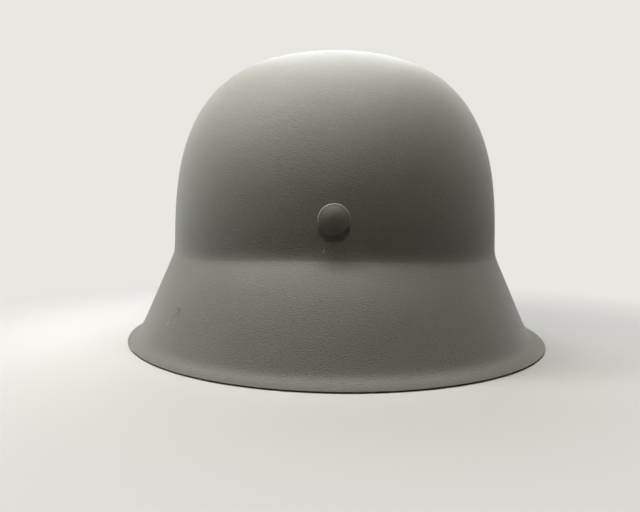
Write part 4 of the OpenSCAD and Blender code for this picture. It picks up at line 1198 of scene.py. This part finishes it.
def backdrop_mesh(radius, bend, height):
    """A round seamless backdrop: a flat floor, a quarter circle of radius bend, and an upright wall."""
    rings, sides = 12, 96
    turn = np.linspace(0, np.pi / 2, 16)[1:]
    r = np.concatenate([np.linspace(0, radius, rings), radius + bend * np.sin(turn), [radius + bend]])
    z = np.concatenate([np.zeros(rings), bend * (1 - np.cos(turn)), [height]])
    t = 2 * np.pi * np.arange(sides) / sides
    return rings_mesh("backdrop", stack(r[:, None] * np.cos(t), r[:, None] * np.sin(t), z[:, None] + 0 * t))


def seen_directly(tree):
    """1 for a ray that shows a thing as it is: from the camera, in a gloss or through a glass."""
    camera, gloss, glass = (node(tree, "LightPath", {}, f"Is {kind} Ray")
                            for kind in ("Camera", "Glossy", "Transmission"))
    either = node(tree, "Math", {0: gloss, 1: glass}, operation="MAXIMUM")
    return node(tree, "Math", {0: camera, 1: either}, operation="MAXIMUM")


def backdrop_paper(even_tone, lit, bounced, near, far):
    """Pale seamless paper: under the lamps it has the colour lit, for the light that it throws back a darker
    one, and from behind it is clear, so that the object can be looked at from below. It takes the object's
    shadow out to the distance near, and from there to far it passes into an even pale ground."""
    made, tree, place = new_material("pale_seamless_paper")
    direct = seen_directly(tree)
    paper = node(tree, "BsdfDiffuse", {"Color": covered(tree, bounced, lit, direct)})
    even = node(tree, "Emission", {"Color": even_tone, "Strength": 1.0})
    away = node(tree, "VectorMath", {0: place}, "Value", operation="LENGTH")
    past = node(tree, "MapRange", {"Value": away, "From Min": near, "From Max": far},
                interpolation_type="SMOOTHSTEP")
    share = node(tree, "Math", {0: past, 1: direct}, operation="MULTIPLY")
    ground = node(tree, "MixShader", {0: share, 1: paper, 2: even})
    behind = node(tree, "NewGeometry", {}, "Backfacing")
    mix = node(tree, "MixShader", {0: behind, 1: ground, 2: node(tree, "BsdfTransparent", {})})
    node(tree, "OutputMaterial", {"Surface": mix})
    return made


def add_light(name, power, tint, width, depth, place, target):
    """An area light, wide from side to side, that points at the target and that the camera doesn't see."""
    data = bpy.data.lights.new(name, "AREA")
    data.shape = "RECTANGLE"
    data.energy = power
    data.size, data.size_y = depth, width
    data.color = tint[:3]
    lamp = bpy.data.objects.new(name, data)
    lamp.location = place
    direction = np.array(place) - np.array(target)
    turn = np.arctan2(direction[1], direction[0])
    tilt = np.arccos(direction[2] / np.linalg.norm(direction))
    lamp.rotation_euler = Euler((0, tilt, turn))
    lamp.visible_camera = False
    bpy.context.scene.collection.objects.link(lamp)


class StageSettings(bpy.types.PropertyGroup):
    """The backdrop, and where the camera and the lights stand."""
    floor_r: size("Floor", "Radius of the backdrop's level floor", 1300)
    bend_r: size("Backdrop bend", "Radius of the bend between the floor and the wall", 700)
    wall_h: size("Backdrop height", "Height of the backdrop's wall", 2600)
    lit: hex_colour("Paper", "Paper under the lamps", "#bebcb6")
    even: hex_colour("Even ground", "Even ground that the floor passes into", "#e9e7e2")
    bounced: hex_colour("Bounced paper", "Paper for the light that it throws back", "#403e39")
    room_tint: hex_colour("Room", "Even light of the room", "#f4f4f2")
    camera_y: size("Camera distance", "Distance of the camera behind the middle of the helmet", 362.2)
    camera_z: size("Camera height", "Height of the camera over the surface", 66.0)
    lens: number("Lens", "Focal length in millimetres on a 36 mm wide sensor", 32.95, kind="CAMERA")
    pitch: angle_of("Pitch", "How far the camera looks down", 3.34)
    roll: angle_of("Roll", "Roll of the camera", -0.61)
    pan: angle_of("Pan", "How far the camera is turned aside", 1.37)
    aim_z: size("Aim", "Height over the surface at which the lights point", 60)
    warm: hex_colour("Warm lamp", "Colour of the key and rear lights", "#fffefb")
    cool: hex_colour("Cool lamp", "Colour of the side light", "#f4f6ff")
    sky: hex_colour("Window", "Colour of the front light", "#eef2ff")
    key_power: number("Key light", "Power in watts of the light close over the neck", 2.2, kind="POWER")
    key_w: size("Key light width", "Width of the key light from side to side", 420)
    key_d: size("Key light depth", "Depth of the key light", 80)
    key_x: size("Key light side", "How far to the left of the middle the key light hangs", 75)
    key_y: size("Key light place", "How far behind the middle of the helmet the key light hangs", 78)
    key_z: size("Key light height", "Height of the key light over the surface", 440)
    side_power: number("Side light", "Power in watts of the light beside the neck guard", 0.85, kind="POWER")
    side_w: size("Side light width", "Width and depth of the side light", 100)
    side_x: size("Side light place", "How far to the left of the middle the side light hangs", 340)
    rear_power: number("Rear light", "Power in watts of the light high over the camera", 1.85, kind="POWER")
    rear_w: size("Rear light width", "Width and depth of the rear light", 120)
    rear_reach: size("Rear light distance", "Distance of the rear light from the helmet's neck guard", 900)
    rear_rise: angle_of("Rear light angle", "Angle of the rear light over the surface", 69)
    front_power: number("Front light", "Power in watts of the light over the visor", 2.4, kind="POWER")
    front_w: size("Front light width", "Width and depth of the front light", 300)
    front_y: size("Front light place", "How far before the middle of the helmet the front light hangs", 300)
    room: number("Room light", "Strength of the even light of the room", 0.02)
    shadow_near: size("Shadow reach", "Distance to which the floor shows the object's shadow", 150)
    shadow_far: size("Even reach", "Distance from which the floor is one even colour", 330)


class HELMET_OT_stage(bpy.types.Operator):
    """Makes the backdrop, the soft studio light and the camera at the photograph's angle"""
    bl_idname = "helmet.stage"
    bl_label = "Stage"

    def execute(self, context):
        s = context.scene.helmet_stage
        paper = bpy.data.objects.new("backdrop", backdrop_mesh(s.floor_r, s.bend_r, s.wall_h))
        context.scene.collection.objects.link(paper)
        paper.data.materials.append(backdrop_paper(s.even, s.lit, s.bounced, s.shadow_near, s.shadow_far))
        paper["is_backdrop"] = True
        world = bpy.data.worlds.new("studio")
        context.scene.world = world
        world.use_nodes = True
        tree = world.node_tree
        tree.nodes.clear()
        strength = node(tree, "MapRange", {"Value": seen_directly(tree), "To Min": s.room})
        light = node(tree, "Background", {"Color": s.room_tint, "Strength": strength})
        node(tree, "OutputWorld", {"Surface": light})
        neck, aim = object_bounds()[1][1], (0, 0, s.aim_z)
        rear = (0, neck + s.rear_reach * np.cos(s.rear_rise), s.rear_reach * np.sin(s.rear_rise))
        add_light("key", s.key_power, s.warm, s.key_w, s.key_d, (s.key_x, s.key_y, s.key_z),
                  (s.key_x, 0, s.aim_z))
        add_light("side", s.side_power, s.cool, s.side_w, s.side_w, (s.side_x, s.key_y, s.key_z), aim)
        add_light("rear", s.rear_power, s.warm, s.rear_w, s.rear_w, rear, aim)
        add_light("front", s.front_power, s.sky, s.front_w, s.front_w, (0, -s.front_y, s.key_z), aim)
        data = bpy.data.cameras.new("camera")
        data.sensor_width = 36.0
        data.lens = s.lens
        data.clip_start, data.clip_end = 0.01, 20
        camera = bpy.data.objects.new("camera", data)
        camera.location = (0, s.camera_y, s.camera_z)
        camera.rotation_euler = Euler((np.pi / 2 - s.pitch, s.roll, np.pi + s.pan))
        context.scene.collection.objects.link(camera)
        context.scene.camera = camera
        context.scene.view_settings.view_transform = "Standard"
        return {"FINISHED"}


class HELMET_PT_panel(bpy.types.Panel):
    """Lists the sizes, the finishes and the buttons that make each piece"""
    bl_idname = "HELMET_PT_panel"
    bl_label = "Steel Helmet"
    bl_space_type = "VIEW_3D"
    bl_region_type = "UI"
    bl_category = "Helmet"

    def draw(self, context):
        for name, group in GROUPS.items():
            box = self.layout.box()
            box.label(text=group.__doc__)
            for key in group.__annotations__:
                box.prop(getattr(context.scene, name), key)
        for operator in OPERATORS:
            self.layout.operator(operator.bl_idname)


GROUPS = {
    "helmet_shell": ShellSizes,
    "helmet_liner": LinerSizes,
    "helmet_strap": StrapSizes,
    "helmet_finishes": Finishes,
    "helmet_stage": StageSettings,
}
OPERATORS = (HELMET_OT_stage, HELMET_OT_shell, HELMET_OT_fittings, HELMET_OT_liner, HELMET_OT_chin_strap)


def register():
    """Registers the property groups, the operators and the panel."""
    for name, group in GROUPS.items():
        bpy.utils.register_class(group)
        setattr(bpy.types.Scene, name, PointerProperty(type=group))
    for made in (*OPERATORS, HELMET_PT_panel):
        bpy.utils.register_class(made)


def unregister():
    """Takes back what register added."""
    for made in (HELMET_PT_panel, *reversed(OPERATORS)):
        bpy.utils.unregister_class(made)
    for name, group in GROUPS.items():
        delattr(bpy.types.Scene, name)
        bpy.utils.unregister_class(group)


def main():
    """Makes every piece and the stage."""
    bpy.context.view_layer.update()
    register()
    bpy.ops.helmet.stage()
    bpy.ops.helmet.shell()
    bpy.ops.helmet.fittings()
    bpy.ops.helmet.liner()
    bpy.ops.helmet.chin_strap()


if __name__ == "__main__":
    main()
